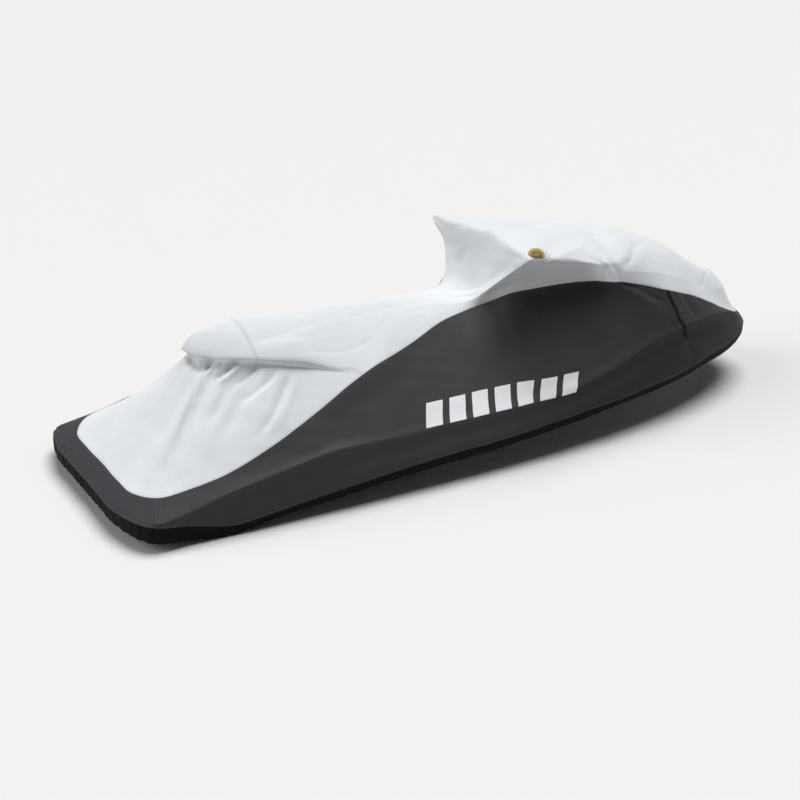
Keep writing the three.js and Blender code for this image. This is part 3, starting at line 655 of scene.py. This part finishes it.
def section_rows(start, end, cells=SECTION_CELLS, close_sections=()):
    """Sections of a piece's rows, closer together beside its sewn ends."""
    rows = np.linspace(start, end, (end - start) * cells + 1)
    reach = EDGE_REACH / SECTION_PITCH
    close = EDGE_ROWS / SECTION_PITCH
    if start in close_sections:
        rows = np.concatenate([start + close[::-1], rows[rows > start + reach]])
    if end in close_sections:
        rows = np.concatenate([rows[rows < end - reach], end - close])
    return rows


def line_rows(sections, start, end, close_lines=(), fineness=1):
    """Lines of a piece's columns at each of its sections, closer together beside some lines."""
    columns = []
    for line in range(start, end):
        high = FORM.half(sections, np.full_like(sections, line))
        low = FORM.half(sections, np.full_like(sections, line + 1))
        span = np.maximum(np.linalg.norm(low - high, axis=1), 1)[:, None]
        shrink = np.minimum(1, span / (EDGE_ROOM * EDGE_REACH))
        close = EDGE_ROWS[None, :] * shrink / span
        reach = EDGE_REACH * shrink / span
        first = reach if line in close_lines else 0 * span
        last = 1 - reach if line + 1 in close_lines else 1 + 0 * span
        t = first + (last - first) * np.linspace(0, 1, round(LINE_CELLS[line] * fineness) + 1)[None, :]
        if line in close_lines:
            t = np.hstack([close[:, ::-1], t])
        if line + 1 in close_lines:
            t = np.hstack([t, 1 - close])
        open_end = line + 1 == end or line + 1 in close_lines
        columns.append(line + (t if open_end else t[:, :-1]))
    return np.hstack(columns)


def add_grid(bm, rows, columns):
    """A flat grid in a mesh: its vertices, with the row and the column of each."""
    verts = bmesh.ops.create_grid(bm, x_segments=rows - 1, y_segments=columns - 1, size=1)["verts"]
    flat = (np.array([vert.co[:2] for vert in verts]) + 1) / 2 * (rows - 1, columns - 1)
    return verts, *np.rint(flat).astype(int).T


def add_block(bm, side, sections, lines, sewn):
    """One side's patch of cloth as a grid, with its vertices moved onto the folded form."""
    verts, i, j = add_grid(bm, *lines.shape)
    section = sections[i]
    line = lines[i, j]
    points, normals = drape(side, section, line)
    distance, along = seam_distance(section, line, sewn)
    raised = SEAM_RAISE * (1 - smoothstep(SEAM_BAND - SEAM_SLOPE, SEAM_BAND, distance))
    points += normals * (raised - SEAM_DIP * np.exp(-((distance / SEAM_GROOVE) ** 2)))[:, None]
    across = np.linalg.norm(FORM.half(section, line) - FORM.half(section, lines[i, 0]), axis=1)
    layers = bm.verts.layers
    facts = {
        "seam": distance * MM,
        "along": along * MM,
        "run": np.interp(section, *run_length(lines.mean())) * MM,
        "drop": across * MM,
        # Painted shade under the overhang, seam and shoulder, kept for the finish
        "painted_shade": painted_shade(section, line),
    }
    thickness = bpy.context.scene.cover_cloth.thickness
    for k, vert in enumerate(verts):
        vert.co = (points[k] - HANG) * MM - normals[k] * thickness
        vert[layers.float_vector["lift"]] = normals[k] * thickness
        for name, values in facts.items():
            vert[layers.float[name]] = values[k]
    if side == STARBOARD:
        bmesh.ops.reverse_faces(bm, faces=list({face for vert in verts for face in vert.link_faces}))


def make_cloth(name, blocks, sewn):
    """A closed thin sheet of one or more blocks, welded where they meet and given its thickness."""
    bm = bmesh.new()
    bm.verts.layers.float_vector.new("lift")
    for fact in ("seam", "along", "run", "drop", "painted_shade"):
        bm.verts.layers.float.new(fact)
    for side, sections, lines in blocks:
        add_block(bm, side, sections, lines, sewn)
    bmesh.ops.remove_doubles(bm, verts=bm.verts, dist=WELD)
    return thicken(bm, name)


def thicken(bm, name):
    """A closed sheet from a single face of cloth, raised at each point by the lift that it keeps."""
    lift = bm.verts.layers.float_vector["lift"]
    raised = bmesh.ops.extrude_face_region(bm, geom=list(bm.faces), use_keep_orig=True)
    for item in raised["geom"]:
        if isinstance(item, bmesh.types.BMVert):
            item.co += item[lift]
    bmesh.ops.recalc_face_normals(bm, faces=bm.faces)
    return finish_mesh(bm, name)


def finish_mesh(bm, name, sharp_angle=SHARP_ANGLE):
    """A mesh object of the shape, smooth but for its cut edges."""
    for face in bm.faces:
        face.smooth = True
    for edge in bm.edges:
        if edge.is_manifold and edge.calc_face_angle(0) > math.radians(sharp_angle):
            edge.smooth = False
    mesh = bpy.data.meshes.new(name)
    bm.to_mesh(mesh)
    bm.free()
    piece = bpy.data.objects.new(name, mesh)
    bpy.context.collection.objects.link(piece)
    return piece


def bare_panel(name, ends, lines, sewn_ends, sewn_lines, sides=BOTH, cells=SECTION_CELLS, fineness=1):
    """A panel over a run of sections and of lines, sewn at some of these, on one side or both."""
    sections = section_rows(*ends, cells, sewn_ends)
    columns = line_rows(sections, *lines, sewn_lines, fineness)
    sewn = [("line", line, *ends) for line in sewn_lines]
    sewn += [("section", end, *lines) for end in sewn_ends]
    return make_cloth(name, [(side, sections, columns) for side in sides], sewn)


def bare_top():
    """The top panel, which widens from the edge of the cap to the sides where the tail panel ends."""
    start, step = CAP_SEAM_SECTION, TAIL_END_SECTION
    aft = section_rows(start, step, close_sections=(start,))
    fore = section_rows(step, LAST)
    parts = [
        (aft, line_rows(aft, SPINE, EDGE, (EDGE,))),
        (fore, line_rows(fore, SPINE, SEAM, (EDGE, SEAM))),
    ]
    sewn = [
        ("section", start, SPINE, EDGE),
        ("line", EDGE, start, step),
        ("section", step, EDGE, SEAM),
        ("line", SEAM, step, LAST),
    ]
    return make_cloth("top_cloth", [(side, *part) for part in parts for side in BOTH], sewn)


def directions(side, section, line):
    """A place on the folded cloth, its normal, and the ways of its sections and of its lines."""
    sections = np.array([section, section + STEP, section], dtype=float)
    points, normals = drape(side, sections, np.array([line, line, line + STEP], dtype=float))
    return points[0], normals[0], points[1] - points[0], points[2] - points[0]


def sheet_from_rows(name, rows, thickness):
    """A closed thin strip through rows of points in millimetres, each row with its normal."""
    bm = bmesh.new()
    lift = bm.verts.layers.float_vector.new("lift")
    run, drop = (bm.verts.layers.float.new(fact) for fact in ("run", "drop"))
    for vert, i, j in zip(*add_grid(bm, len(rows), len(rows[0][0]))):
        points, normal, along = rows[i]
        vert[run] = along * MM
        vert[drop] = math.dist(points[j], points[0]) * MM
        vert.co = (points[j] - HANG) * MM
        vert[lift] = normal * thickness * MM
    return thicken(bm, name)


STRAP_HALF_WIDTH = 9.5
STRAP_THICKNESS = 1.6
STRAP_CLEARANCE = 1.3
STRAP_START_LINE = SEAM + 0.02
STRAP_LINES = 1.36
STRAP_STEPS = 40
# Share of the strap that is folded back at its end, and over which the fold rises
STRAP_FOLD = 0.16
STRAP_FOLD_RISE = 0.03
# Below this line the strap leaves the seam and keeps straight on, so many sections for each line
STRAP_TURN = 4.05
STRAP_RUN = 0.3
# Places of the strap's points across it, with its edges at -1 and 1
STRAP_ACROSS = (-1, -0.9, -0.3, 0.3, 0.9, 1)


def bare_strap(side, name):
    """Webbing laid over the bow seam, with a folded tab at its lower end."""
    rows = []
    last_point = None
    along = 0
    for k in range(STRAP_STEPS + 1):
        line = STRAP_START_LINE + STRAP_LINES * k / STRAP_STEPS
        section = STRAP_SECTION + STRAP_RUN * max(0, line - STRAP_TURN)
        point, normal, forward, _ = directions(side, section, line)
        along += 0 if last_point is None else math.dist(point, last_point)
        last_point = point
        folded = smoothstep(1 - STRAP_FOLD, 1 - STRAP_FOLD + STRAP_FOLD_RISE, k / STRAP_STEPS)
        middle = point + normal * (STRAP_CLEARANCE + STRAP_THICKNESS * folded)
        width = forward / np.linalg.norm(forward) * STRAP_HALF_WIDTH
        rows.append(([middle + width * t for t in STRAP_ACROSS], normal, along))
    return sheet_from_rows(name, rows, STRAP_THICKNESS)


PATCH_PLACE = (RIDGE_SECTION + 0.37, 0.872)
# How far the patch bridges the small folds below it, from 0 to 1
PATCH_STIFFNESS = 0.8
# Section of the patch with its raised rim: radius and height over the cloth, in millimetres
PATCH_PROFILE = ((0, 1.5), (28.5, 1.5), (29.2, 2.3), (33.2, 2.3), (34, 1.4), (34, 0.4), (0, 0.4))
PATCH_RINGS = 7
PATCH_STEPS = 56
PATCH_WELD = 0.01
PATCH_SHARP_ANGLE = 40


def bare_patch():
    """Round sewn patch with a raised rim, laid over the cloth at the end of the grip."""
    bm = bmesh.new()
    verts = [bm.verts.new((radius, 0, height)) for radius, height in PATCH_PROFILE]
    edges = [bm.edges.new(pair) for pair in zip(verts, verts[1:])]
    bmesh.ops.subdivide_edges(bm, edges=[edges[0], edges[-1]], cuts=PATCH_RINGS)
    bmesh.ops.spin(
        bm, geom=bm.verts[:] + bm.edges[:], cent=(0, 0, 0), axis=(0, 0, 1),
        angle=2 * math.pi, steps=PATCH_STEPS, use_merge=True,
    )
    bmesh.ops.remove_doubles(bm, verts=bm.verts, dist=PATCH_WELD)
    s, l = PATCH_PLACE
    middle, _, per_section, per_line = directions(STARBOARD, s, l)
    forward = per_section / np.linalg.norm(per_section)
    down = per_line / np.linalg.norm(per_line)
    level = np.linalg.lstsq(
        np.column_stack([per_section, per_line]) / STEP,
        np.column_stack([forward, np.cross(np.cross(forward, down), forward)]),
        rcond=None,
    )[0]
    layer = bm.verts.layers.float.new("drop")
    flat = np.array([vert.co[:] for vert in bm.verts])
    moves = flat[:, :2] @ level.T
    points, _ = drape(STARBOARD, s + moves[:, 0], l + moves[:, 1])
    out = np.cross(down, forward)
    out /= np.linalg.norm(out)
    u, v = flat[:, 0], flat[:, 1]
    rise = (points - middle) @ out
    bent = np.column_stack([np.ones(len(u)), u, v, u * u, u * v, v * v])
    smoothed = bent @ np.linalg.lstsq(bent, rise, rcond=None)[0]
    folds = rise - smoothed
    lifted = smoothed + PATCH_STIFFNESS * folds.max() + (1 - PATCH_STIFFNESS) * folds
    places = points + out * (lifted - rise + flat[:, 2])[:, None]
    for k, vert in enumerate(bm.verts):
        vert[layer] = math.hypot(*flat[k, :2]) * MM
        vert.co = (places[k] - HANG) * MM
    bmesh.ops.recalc_face_normals(bm, faces=bm.faces)
    if bm.calc_volume(signed=True) < 0:
        bmesh.ops.reverse_faces(bm, faces=bm.faces)
    return finish_mesh(bm, "grip_patch_cloth", PATCH_SHARP_ANGLE)


class Value:
    """A number that changes over a surface, so that sums on it are written as plain expressions."""

    def __init__(self, nodes, socket):
        self.nodes = nodes
        self.socket = socket

    def sum(self, operation, *numbers):
        return self.nodes.node("ShaderNodeMath", {"operation": operation}, *numbers)

    def __add__(self, other):
        return self.sum("ADD", self, other)

    def __sub__(self, other):
        return self.sum("SUBTRACT", self, other)

    def __rsub__(self, other):
        return self.sum("SUBTRACT", other, self)

    def __mul__(self, other):
        return self.sum("MULTIPLY", self, other)

    def __truediv__(self, other):
        return self.sum("DIVIDE", self, other)

    def __lt__(self, other):
        return self.sum("LESS_THAN", self, other)

    def __gt__(self, other):
        return self.sum("GREATER_THAN", self, other)

    def __abs__(self):
        return self.sum("ABSOLUTE", self)

    __radd__ = __add__
    __rmul__ = __mul__

    def wave(self, pitch):
        """A wave from -1 to 1 with the pitch in metres."""
        return self.sum("SINE", self * (2 * math.pi / pitch))

    def part(self, pitch):
        """How far through its pitch the number is, from 0 to 1."""
        return self.sum("FRACT", self / pitch)


class Nodes:
    """The nodes of a finish or of the surround."""

    def __init__(self, tree):
        self.tree = tree

    def put(self, socket, value):
        if isinstance(value, Value):
            self.tree.links.new(value.socket, socket)
        else:
            socket.default_value = value

    def node(self, kind, settings, *inputs, output=0, **named):
        """A node of a kind, with its settings and then the values or links of its sockets."""
        made = self.tree.nodes.new(kind)
        for name, value in settings.items():
            setattr(made, name, value)
        for socket, value in zip(made.inputs, inputs):
            self.put(socket, value)
        for name, value in named.items():
            self.put(made.inputs[name.replace("_", " ")], value)
        return Value(self, made.outputs[output])

    def place(self, kind="Object"):
        return self.node("ShaderNodeTexCoord", {}, output=kind)

    def along(self, axis, kind="Object"):
        """The place along one axis."""
        return self.node("ShaderNodeSeparateXYZ", {}, self.place(kind), output=axis)

    def range_of(self, value, low, high, ends=(0, 1), **settings):
        """Takes a value from between its two ends to between two others."""
        bounds = dict(zip(("From Min", "From Max", "To Min", "To Max"), (*ends, low, high)))
        return self.node("ShaderNodeMapRange", settings, Value=value, output="Result", **bounds)


class Finish(Nodes):
    """A cloth, webbing, patch or floor finish."""

    def __init__(self, name, roughness, sheen=0.0, shine=0.35):
        self.material = bpy.data.materials.new(name)
        self.material.use_nodes = True
        super().__init__(self.material.node_tree)
        self.shader = self.tree.nodes["Principled BSDF"]
        self.set("Roughness", roughness)
        self.set("Sheen Weight", sheen)
        self.set("Specular IOR Level", shine)

    def set(self, socket, value):
        self.put(self.shader.inputs[socket], value)

    def fact(self, name):
        """A length in metres that the piece keeps at each of its points."""
        return self.node("ShaderNodeAttribute", {"attribute_name": name}, output="Fac")

    def noise(self, scale, detail):
        """Cloudy variation about nought, between -0.5 and 0.5."""
        where = self.place()
        return self.node("ShaderNodeTexNoise", {}, Vector=where, Scale=scale, Detail=detail) - 0.5

    def mix(self, share, first, second):
        colours = {"Factor": share, "A": first, "B": second}
        return self.node("ShaderNodeMix", {"data_type": "RGBA"}, output="Result", **colours)

    def bump(self, height, distance):
        relief = self.node("ShaderNodeBump", {}, Height=height, Distance=distance, output="Normal")
        self.set("Normal", relief)


def tinted(colour, gain):
    return (*(min(1.0, channel * gain) for channel in colour[:3]), 1.0)


# Threads and stitches of the cloth, in metres
WEAVE_PITCH = 0.0012
STITCH_PITCH = 0.0046
STITCH_LENGTH = 0.7
STITCH_ROWS = (0.0032, 0.0088)
STITCH_WIDTH = 0.0007
# Painted shade: the dark line where two panels meet, standing for the shade in the groove between them
PAINTED_SEAM_SHADE_WIDTH = 0.0014

# How far the stitches, the painted shade where the cloth hangs in shade and the painted shade in the seam's
# groove change the cloth's colour
THREAD_SHARE = 0.8
PAINTED_SHADE_SHARE = 0.8
PAINTED_SEAM_SHADE_SHARE = 0.3
# Gain of the thread's colour, roughness, shine and crinkle of each cloth
LIGHT_LOOKS = (0.6, 0.75, 0.2, 0.9)
DARK_LOOKS = (1.9, 0.6, 0.12, 0.8)
# Scale and detail of the clouds in a finish
BROAD_CLOUDS = (2.6, 4)
SMALL_CLOUDS = (21, 3)
DULL_CLOUDS = (9, 3)
CREASES = (14, 5)
FINE_CREASES = (48, 4)


def stitches(finish):
    """One where the two rows of thread beside a sewn edge show, and nought between them."""
    seam = finish.fact("seam")
    rows = [abs(seam - row) < STITCH_WIDTH for row in STITCH_ROWS]
    dashes = finish.fact("along").part(STITCH_PITCH) < STITCH_LENGTH
    return (rows[0] + rows[1]) * dashes


def weave(finish):
    """Relief of a fine plain weave."""
    return finish.fact("run").wave(WEAVE_PITCH) * finish.fact("drop").wave(WEAVE_PITCH)


def cloth_finish(name, colour, thread_gain, roughness, shine, crinkle, marks=None):
    """Coated plain-weave cloth with its mottling, small crinkles, seams and thread, and painted shade where
    it hangs in shade and in the seams' grooves.
    """
    finish = Finish(name, roughness, shine=shine)
    clouds = finish.noise(*BROAD_CLOUDS) + 0.5 * finish.noise(*SMALL_CLOUDS)
    base = finish.mix(0.5 + clouds * 1.1, tinted(colour, 0.94), tinted(colour, 1.05))
    # Painted shade: darker where the cloth hangs in shade under the overhang, seam and shoulder
    base = finish.mix(finish.fact("painted_shade") * PAINTED_SHADE_SHARE, base, tinted(colour, 0.22))
    # Painted shade in the groove along each seam
    painted_seam_shade = (finish.fact("seam") < PAINTED_SEAM_SHADE_WIDTH) * PAINTED_SEAM_SHADE_SHARE
    base = finish.mix(painted_seam_shade, base, tinted(colour, 0.45))
    if marks:
        base = finish.mix(marks(finish), base, tuple(bpy.context.scene.cover_colours.marks))
    thread = stitches(finish)
    base = finish.mix(thread * THREAD_SHARE, base, tinted(colour, thread_gain))
    finish.set("Base Color", base)
    finish.set("Roughness", roughness + finish.noise(*DULL_CLOUDS) * 0.12)
    creases = finish.noise(*CREASES) + finish.noise(*FINE_CREASES) * 0.35
    height = creases * crinkle + weave(finish) * 0.03 + thread * 0.25
    finish.bump(height, 0.0012)
    return finish.material


# Row of equal slanted blocks along each flank, in metres from where the cover hangs. The share is the
# filled part of each pitch, and the slant is forward for each metre of height.
MARK_START = -0.678
MARK_PITCH = 0.116
MARK_SHARE = 0.7
MARK_COUNT = 7
MARK_BOTTOM = -0.612
MARK_TOP = -0.538
MARK_SLANT = 0.62


def flank_marks(finish):
    """One on the row of blocks printed along the flank."""
    z = finish.along("Z")
    slanted = finish.along("X") - MARK_START - (z - MARK_BOTTOM) * MARK_SLANT
    inside = (slanted > 0) * (slanted < MARK_COUNT * MARK_PITCH)
    level = (z > MARK_BOTTOM) * (z < MARK_TOP)
    return inside * level * (slanted.part(MARK_PITCH) < MARK_SHARE)


# Gathers along the elastic and rows of stitching across it, in metres
ELASTIC_PITCH = 0.011
ELASTIC_ROW_PITCH = 0.012


def hem_finish():
    """Black cloth, gathered by the elastic that runs in it."""
    colour = bpy.context.scene.cover_colours.hem
    finish = Finish("hem_elastic_cloth", 0.75, shine=0.08)
    shade = 0.5 + finish.noise(12, 4)
    finish.set("Base Color", finish.mix(shade, tinted(colour, 0.8), tinted(colour, 1.35)))
    gathers = finish.fact("run").wave(ELASTIC_PITCH) * (0.6 + finish.noise(30, 3) * 1.4)
    rows = finish.fact("drop").wave(ELASTIC_ROW_PITCH)
    finish.set("Roughness", 0.68 + finish.noise(40, 3) * 0.15)
    finish.bump(gathers * 0.8 + rows * 0.15 + weave(finish) * 0.04 + stitches(finish) * 0.3, 0.0011)
    return finish.material


# Ribs along the webbing, picks across it, and where its edges start from a line near its middle
RIB_PITCH = 0.0022
PICK_PITCH = 0.0018
WEBBING_MIDDLE = 0.011
WEBBING_EDGE = 0.0085


def webbing_finish():
    """Black ribbed webbing with a firm edge."""
    colour = bpy.context.scene.cover_colours.webbing
    finish = Finish("ribbed_webbing", 0.6, shine=0.15)
    ribs = finish.fact("drop").wave(RIB_PITCH)
    picks = finish.fact("run").wave(PICK_PITCH)
    edges = abs(finish.fact("drop") - WEBBING_MIDDLE) > WEBBING_EDGE
    # Painted highlight: the colour is lighter on the rib crests, following their bump, with random tone from
    # noise
    shade = 0.5 + ribs * 0.3 + finish.noise(60, 2)
    finish.set("Base Color", finish.mix(shade, tinted(colour, 0.7), tinted(colour, 1.6)))
    finish.bump(ribs * 0.7 + picks * 0.4 + edges * 0.3, 0.0006)
    return finish.material


# Radii of the patch's rim and of its ring, half the ring's width, and the pitch of its threads
PATCH_RIM = 0.0285
PATCH_RING = 0.0175
PATCH_RING_HALF = 0.0035
PATCH_RING_COLOUR = (0.07, 0.045, 0.012, 1)
PATCH_THREAD_PITCH = 0.0016


def patch_finish():
    """Woven patch: a dull yellow field with one dark ring and a thick sewn rim."""
    colour = bpy.context.scene.cover_colours.patch
    finish = Finish("sewn_patch", 0.6, 0.1)
    radius = finish.fact("drop")
    rim = radius > PATCH_RIM
    ring = abs(radius - PATCH_RING) < PATCH_RING_HALF
    field = finish.mix(0.5 + finish.noise(90, 3), tinted(colour, 0.75), tinted(colour, 1.3))
    field = finish.mix(ring * 0.75, field, PATCH_RING_COLOUR)
    finish.set("Base Color", finish.mix(rim, field, tinted(colour, 1.25)))
    threads = radius.wave(PATCH_THREAD_PITCH) * (1 - rim) + finish.noise(400, 2) * rim
    finish.bump(threads, 0.0006)
    return finish.material


def dress(piece, material, slot, *nodes):
    """Gives a piece its finish and body, and hides the parts of model.glb that it replaces."""
    piece.data.materials.append(material)
    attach(piece, "root")
    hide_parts(*nodes)


def panel_cloth(name, colour, *looks):
    """The cloth of a colour, made the first time that a piece asks for it."""
    return bpy.data.materials.get(name) or cloth_finish(name, colour, *looks)


def light_cloth():
    return panel_cloth("light_coated_cloth", bpy.context.scene.cover_colours.light, *LIGHT_LOOKS)


def dark_cloth(name="dark_coated_cloth", marks=None):
    return panel_cloth(name, bpy.context.scene.cover_colours.dark, *DARK_LOOKS, marks)


# What the colour properties share
COLOUR = {"subtype": "COLOR", "size": 4, "min": 0, "max": 1}


class CoverCloth(bpy.types.PropertyGroup):
    """Sizes of the cloth that a user may change."""

    thickness: bpy.props.FloatProperty(
        name="Cloth thickness", description="Thickness of the panels",
        default=1.6 * MM, unit="LENGTH", min=0.5 * MM, max=3 * MM,
    )


class CoverColours(bpy.types.PropertyGroup):
    """Colours of the cover."""

    light: bpy.props.FloatVectorProperty(
        name="Light cloth", description="Colour of the top, seat and tail",
        default=(0.70, 0.72, 0.74, 1), **COLOUR,
    )
    dark: bpy.props.FloatVectorProperty(
        name="Dark cloth", description="Colour of the band round the sides",
        default=(0.044, 0.046, 0.050, 1), **COLOUR,
    )
    hem: bpy.props.FloatVectorProperty(
        name="Hem", description="Colour of the elastic hem",
        default=(0.0045, 0.0048, 0.005, 1), **COLOUR,
    )
    webbing: bpy.props.FloatVectorProperty(
        name="Webbing", description="Colour of the straps",
        default=(0.004, 0.004, 0.0045, 1), **COLOUR,
    )
    patch: bpy.props.FloatVectorProperty(
        name="Patch", description="Colour of the round patch",
        default=(0.42, 0.29, 0.03, 1), **COLOUR,
    )
    marks: bpy.props.FloatVectorProperty(
        name="Flank marks", description="Colour of the printed blocks",
        default=(0.78, 0.79, 0.81, 1), **COLOUR,
    )


class CoverStudio(bpy.types.PropertyGroup):
    """Light and floor of the stage."""

    key: bpy.props.FloatProperty(
        name="Key light", description="Strength of the broad light from above",
        default=3.2, min=0, max=20,
    )
    fill: bpy.props.FloatProperty(
        name="Fill light", description="Strength of the broad low light behind the stern",
        default=1.3, min=0, max=20,
    )
    sky: bpy.props.FloatProperty(
        name="Surround", description="Brightness of the pale surround overhead",
        default=0.07, min=0, max=3,
    )


class COVER_OT_seat_cap(bpy.types.Operator):
    """Make the fitted cap over the back of the seat"""

    bl_idname = "cover.seat_cap"
    bl_label = "Seat cap"

    def execute(self, context):
        piece = bare_panel(
            "seat_cap_cloth", (0, CAP_SEAM_SECTION), (SPINE, EDGE), (CAP_SEAM_SECTION,), (EDGE,)
        )
        dress(piece, light_cloth(), "light_cloth", "seat_cap")
        return {"FINISHED"}


class COVER_OT_tail(bpy.types.Operator):
    """Make the light panel that falls from the cap to the stern"""

    bl_idname = "cover.tail"
    bl_label = "Tail panel"

    def execute(self, context):
        piece = bare_panel(
            "tail_cloth", (0, TAIL_END_SECTION), (EDGE, SEAM), (TAIL_END_SECTION,), (EDGE, SEAM),
            cells=TAIL_SECTION_CELLS, fineness=TAIL_FINENESS,
        )
        dress(piece, light_cloth(), "light_cloth", "tail_panel")
        return {"FINISHED"}


class COVER_OT_top(bpy.types.Operator):
    """Make the light panel over the seat, the handlebar and the hood, with its sewn patch"""

    bl_idname = "cover.top"
    bl_label = "Top panel and patch"

    def execute(self, context):
        piece = bare_top()
        dress(piece, light_cloth(), "light_cloth", "top_panel")
        patch = bare_patch()
        dress(patch, patch_finish(), "patch", "grip_patch")
        return {"FINISHED"}


class COVER_OT_stern_band(bpy.types.Operator):
    """Make the dark band across the stern"""

    bl_idname = "cover.stern_band"
    bl_label = "Stern band"

    def execute(self, context):
        piece = bare_panel(
            "stern_band_cloth", (0, CORNER_SECTION), (SEAM, HEM), (CORNER_SECTION,), (SEAM, HEM)
        )
        dress(piece, dark_cloth(), "dark_cloth", "stern_band")
        return {"FINISHED"}


class COVER_OT_sides(bpy.types.Operator):
    """Make the dark panel along each side"""

    bl_idname = "cover.sides"
    bl_label = "Side panels"

    def execute(self, context):
        material = dark_cloth("side_coated_cloth", flank_marks)
        ends = (CORNER_SECTION, STRAP_SECTION)
        for side, word in SIDE_NAMES:
            piece = bare_panel(
                f"side_cloth_{word}", ends, (SEAM, HEM), ends, (SEAM, HEM), (side,), SIDE_SECTION_CELLS
            )
            dress(piece, material, "dark_cloth", f"side_panel_{word}")
        return {"FINISHED"}


class COVER_OT_bow_band(bpy.types.Operator):
    """Make the dark band round the bow, with the webbing over its two seams"""

    bl_idname = "cover.bow_band"
    bl_label = "Bow band and straps"

    def execute(self, context):
        piece = bare_panel(
            "bow_band_cloth", (STRAP_SECTION, LAST), (SEAM, HEM), (STRAP_SECTION,), (SEAM, HEM)
        )
        dress(piece, dark_cloth(), "dark_cloth", "bow_band")
        material = webbing_finish()
        for side, word in SIDE_NAMES:
            strap = bare_strap(side, f"strap_{word}")
            dress(strap, material, "webbing", f"bow_strap_{word}")
        return {"FINISHED"}


class COVER_OT_hem(bpy.types.Operator):
    """Make the turned hem with its gathered elastic"""

    bl_idname = "cover.hem"
    bl_label = "Elastic hem"

    def execute(self, context):
        piece = bare_panel(
            "hem_casing_cloth", (0, LAST), (HEM, INNER), (), (HEM,), cells=HEM_SECTION_CELLS
        )
        dress(piece, hem_finish(), "hem_cloth", "hem_casing")
        return {"FINISHED"}


FLOOR_GAP = 0.004
FLOOR_SIZE = 60
FLOOR_COLOUR = (0.71, 0.71, 0.715, 1)
# The way that each light shines, and its breadth in degrees
KEY_LIGHT = ((-0.3, -0.12, -1), 42)
FILL_LIGHT = ((1, -0.35, -0.6), 50)
# The surround is palest at the floor's far edge, and fades between these heights of a unit sphere
GLOW_HEIGHTS = (0.04, 0.22)
GLOW = 0.6
# What the camera sees beyond the floor is as pale as the floor, and gives no light
BEYOND_FLOOR = 0.9
SURROUND_COLOUR = (0.97, 0.98, 1, 1)
EYE = (-3.605, -5.4938, 1.8708)
EYE_TURN = (math.radians(67.67), 0, math.radians(-29.58))
EYE_LENS = 67.5


def add_light(name, direction, breadth, strength):
    """A broad even light that shines along a direction."""
    data = bpy.data.lights.new(name, "SUN")
    data.angle = math.radians(breadth)
    data.energy = strength
    light = bpy.data.objects.new(name, data)
    light.rotation_euler = Vector(direction).to_track_quat("-Z", "Y").to_euler()
    bpy.context.collection.objects.link(light)


class COVER_OT_studio(bpy.types.Operator):
    """Make the pale floor, the soft lights and the camera"""

    bl_idname = "cover.studio"
    bl_label = "Studio"

    def execute(self, context):
        studio = context.scene.cover_studio
        bm = bmesh.new()
        bmesh.ops.create_grid(bm, x_segments=1, y_segments=1, size=FLOOR_SIZE)
        bmesh.ops.translate(bm, verts=bm.verts, vec=(0, 0, CAD_BOX[0][2] - FLOOR_GAP))
        floor = finish_mesh(bm, "studio_floor")
        finish = Finish("studio_floor_paint", 0.9)
        finish.set("Base Color", FLOOR_COLOUR)
        floor.data.materials.append(finish.material)
        add_light("key_light", *KEY_LIGHT, studio.key)
        add_light("fill_light", *FILL_LIGHT, studio.fill)
        world = bpy.data.worlds.new("pale_surround")
        world.use_nodes = True
        surround = Nodes(world.node_tree)
        glow = surround.range_of(
            surround.along("Z", "Generated"), GLOW, studio.sky, GLOW_HEIGHTS,
            interpolation_type="SMOOTHSTEP",
        )
        seen = surround.node("ShaderNodeLightPath", {}, output="Is Camera Ray")
        background = surround.tree.nodes["Background"]
        surround.put(background.inputs["Color"], SURROUND_COLOUR)
        surround.put(background.inputs["Strength"], surround.range_of(seen, glow, BEYOND_FLOOR))
        context.scene.world = world
        context.scene.view_settings.view_transform = "Standard"
        lens = bpy.data.cameras.new("camera")
        lens.lens = EYE_LENS
        camera = bpy.data.objects.new("camera", lens)
        camera.location = EYE
        camera.rotation_euler = EYE_TURN
        bpy.context.collection.objects.link(camera)
        context.scene.camera = camera
        return {"FINISHED"}


class COVER_PT_panel(bpy.types.Panel):
    """Lists the pieces of the cover and their sizes"""

    bl_idname = "COVER_PT_panel"
    bl_label = "Watercraft cover"
    bl_space_type = "VIEW_3D"
    bl_region_type = "UI"
    bl_category = "Cover"

    def draw(self, context):
        for group, kind in GROUPS.items():
            for name in kind.__annotations__:
                self.layout.prop(getattr(context.scene, group), name)
        for piece in PIECES:
            self.layout.operator(piece.bl_idname)


GROUPS = {"cover_cloth": CoverCloth, "cover_colours": CoverColours, "cover_studio": CoverStudio}
PIECES = (
    COVER_OT_seat_cap,
    COVER_OT_tail,
    COVER_OT_top,
    COVER_OT_stern_band,
    COVER_OT_sides,
    COVER_OT_bow_band,
    COVER_OT_hem,
    COVER_OT_studio,
)


def register():
    for group in GROUPS.values():
        bpy.utils.register_class(group)
    for name, group in GROUPS.items():
        setattr(bpy.types.Scene, name, bpy.props.PointerProperty(type=group))
    for piece in PIECES:
        bpy.utils.register_class(piece)
    bpy.utils.register_class(COVER_PT_panel)


def unregister():
    bpy.utils.unregister_class(COVER_PT_panel)
    for piece in reversed(PIECES):
        bpy.utils.unregister_class(piece)
    for name, group in GROUPS.items():
        delattr(bpy.types.Scene, name)
        bpy.utils.unregister_class(group)


def main():
    register()
    bpy.ops.cover.seat_cap()
    bpy.ops.cover.tail()
    bpy.ops.cover.top()
    bpy.ops.cover.stern_band()
    bpy.ops.cover.sides()
    bpy.ops.cover.bow_band()
    bpy.ops.cover.hem()
    bpy.ops.cover.studio()


if __name__ == "__main__":
    main()
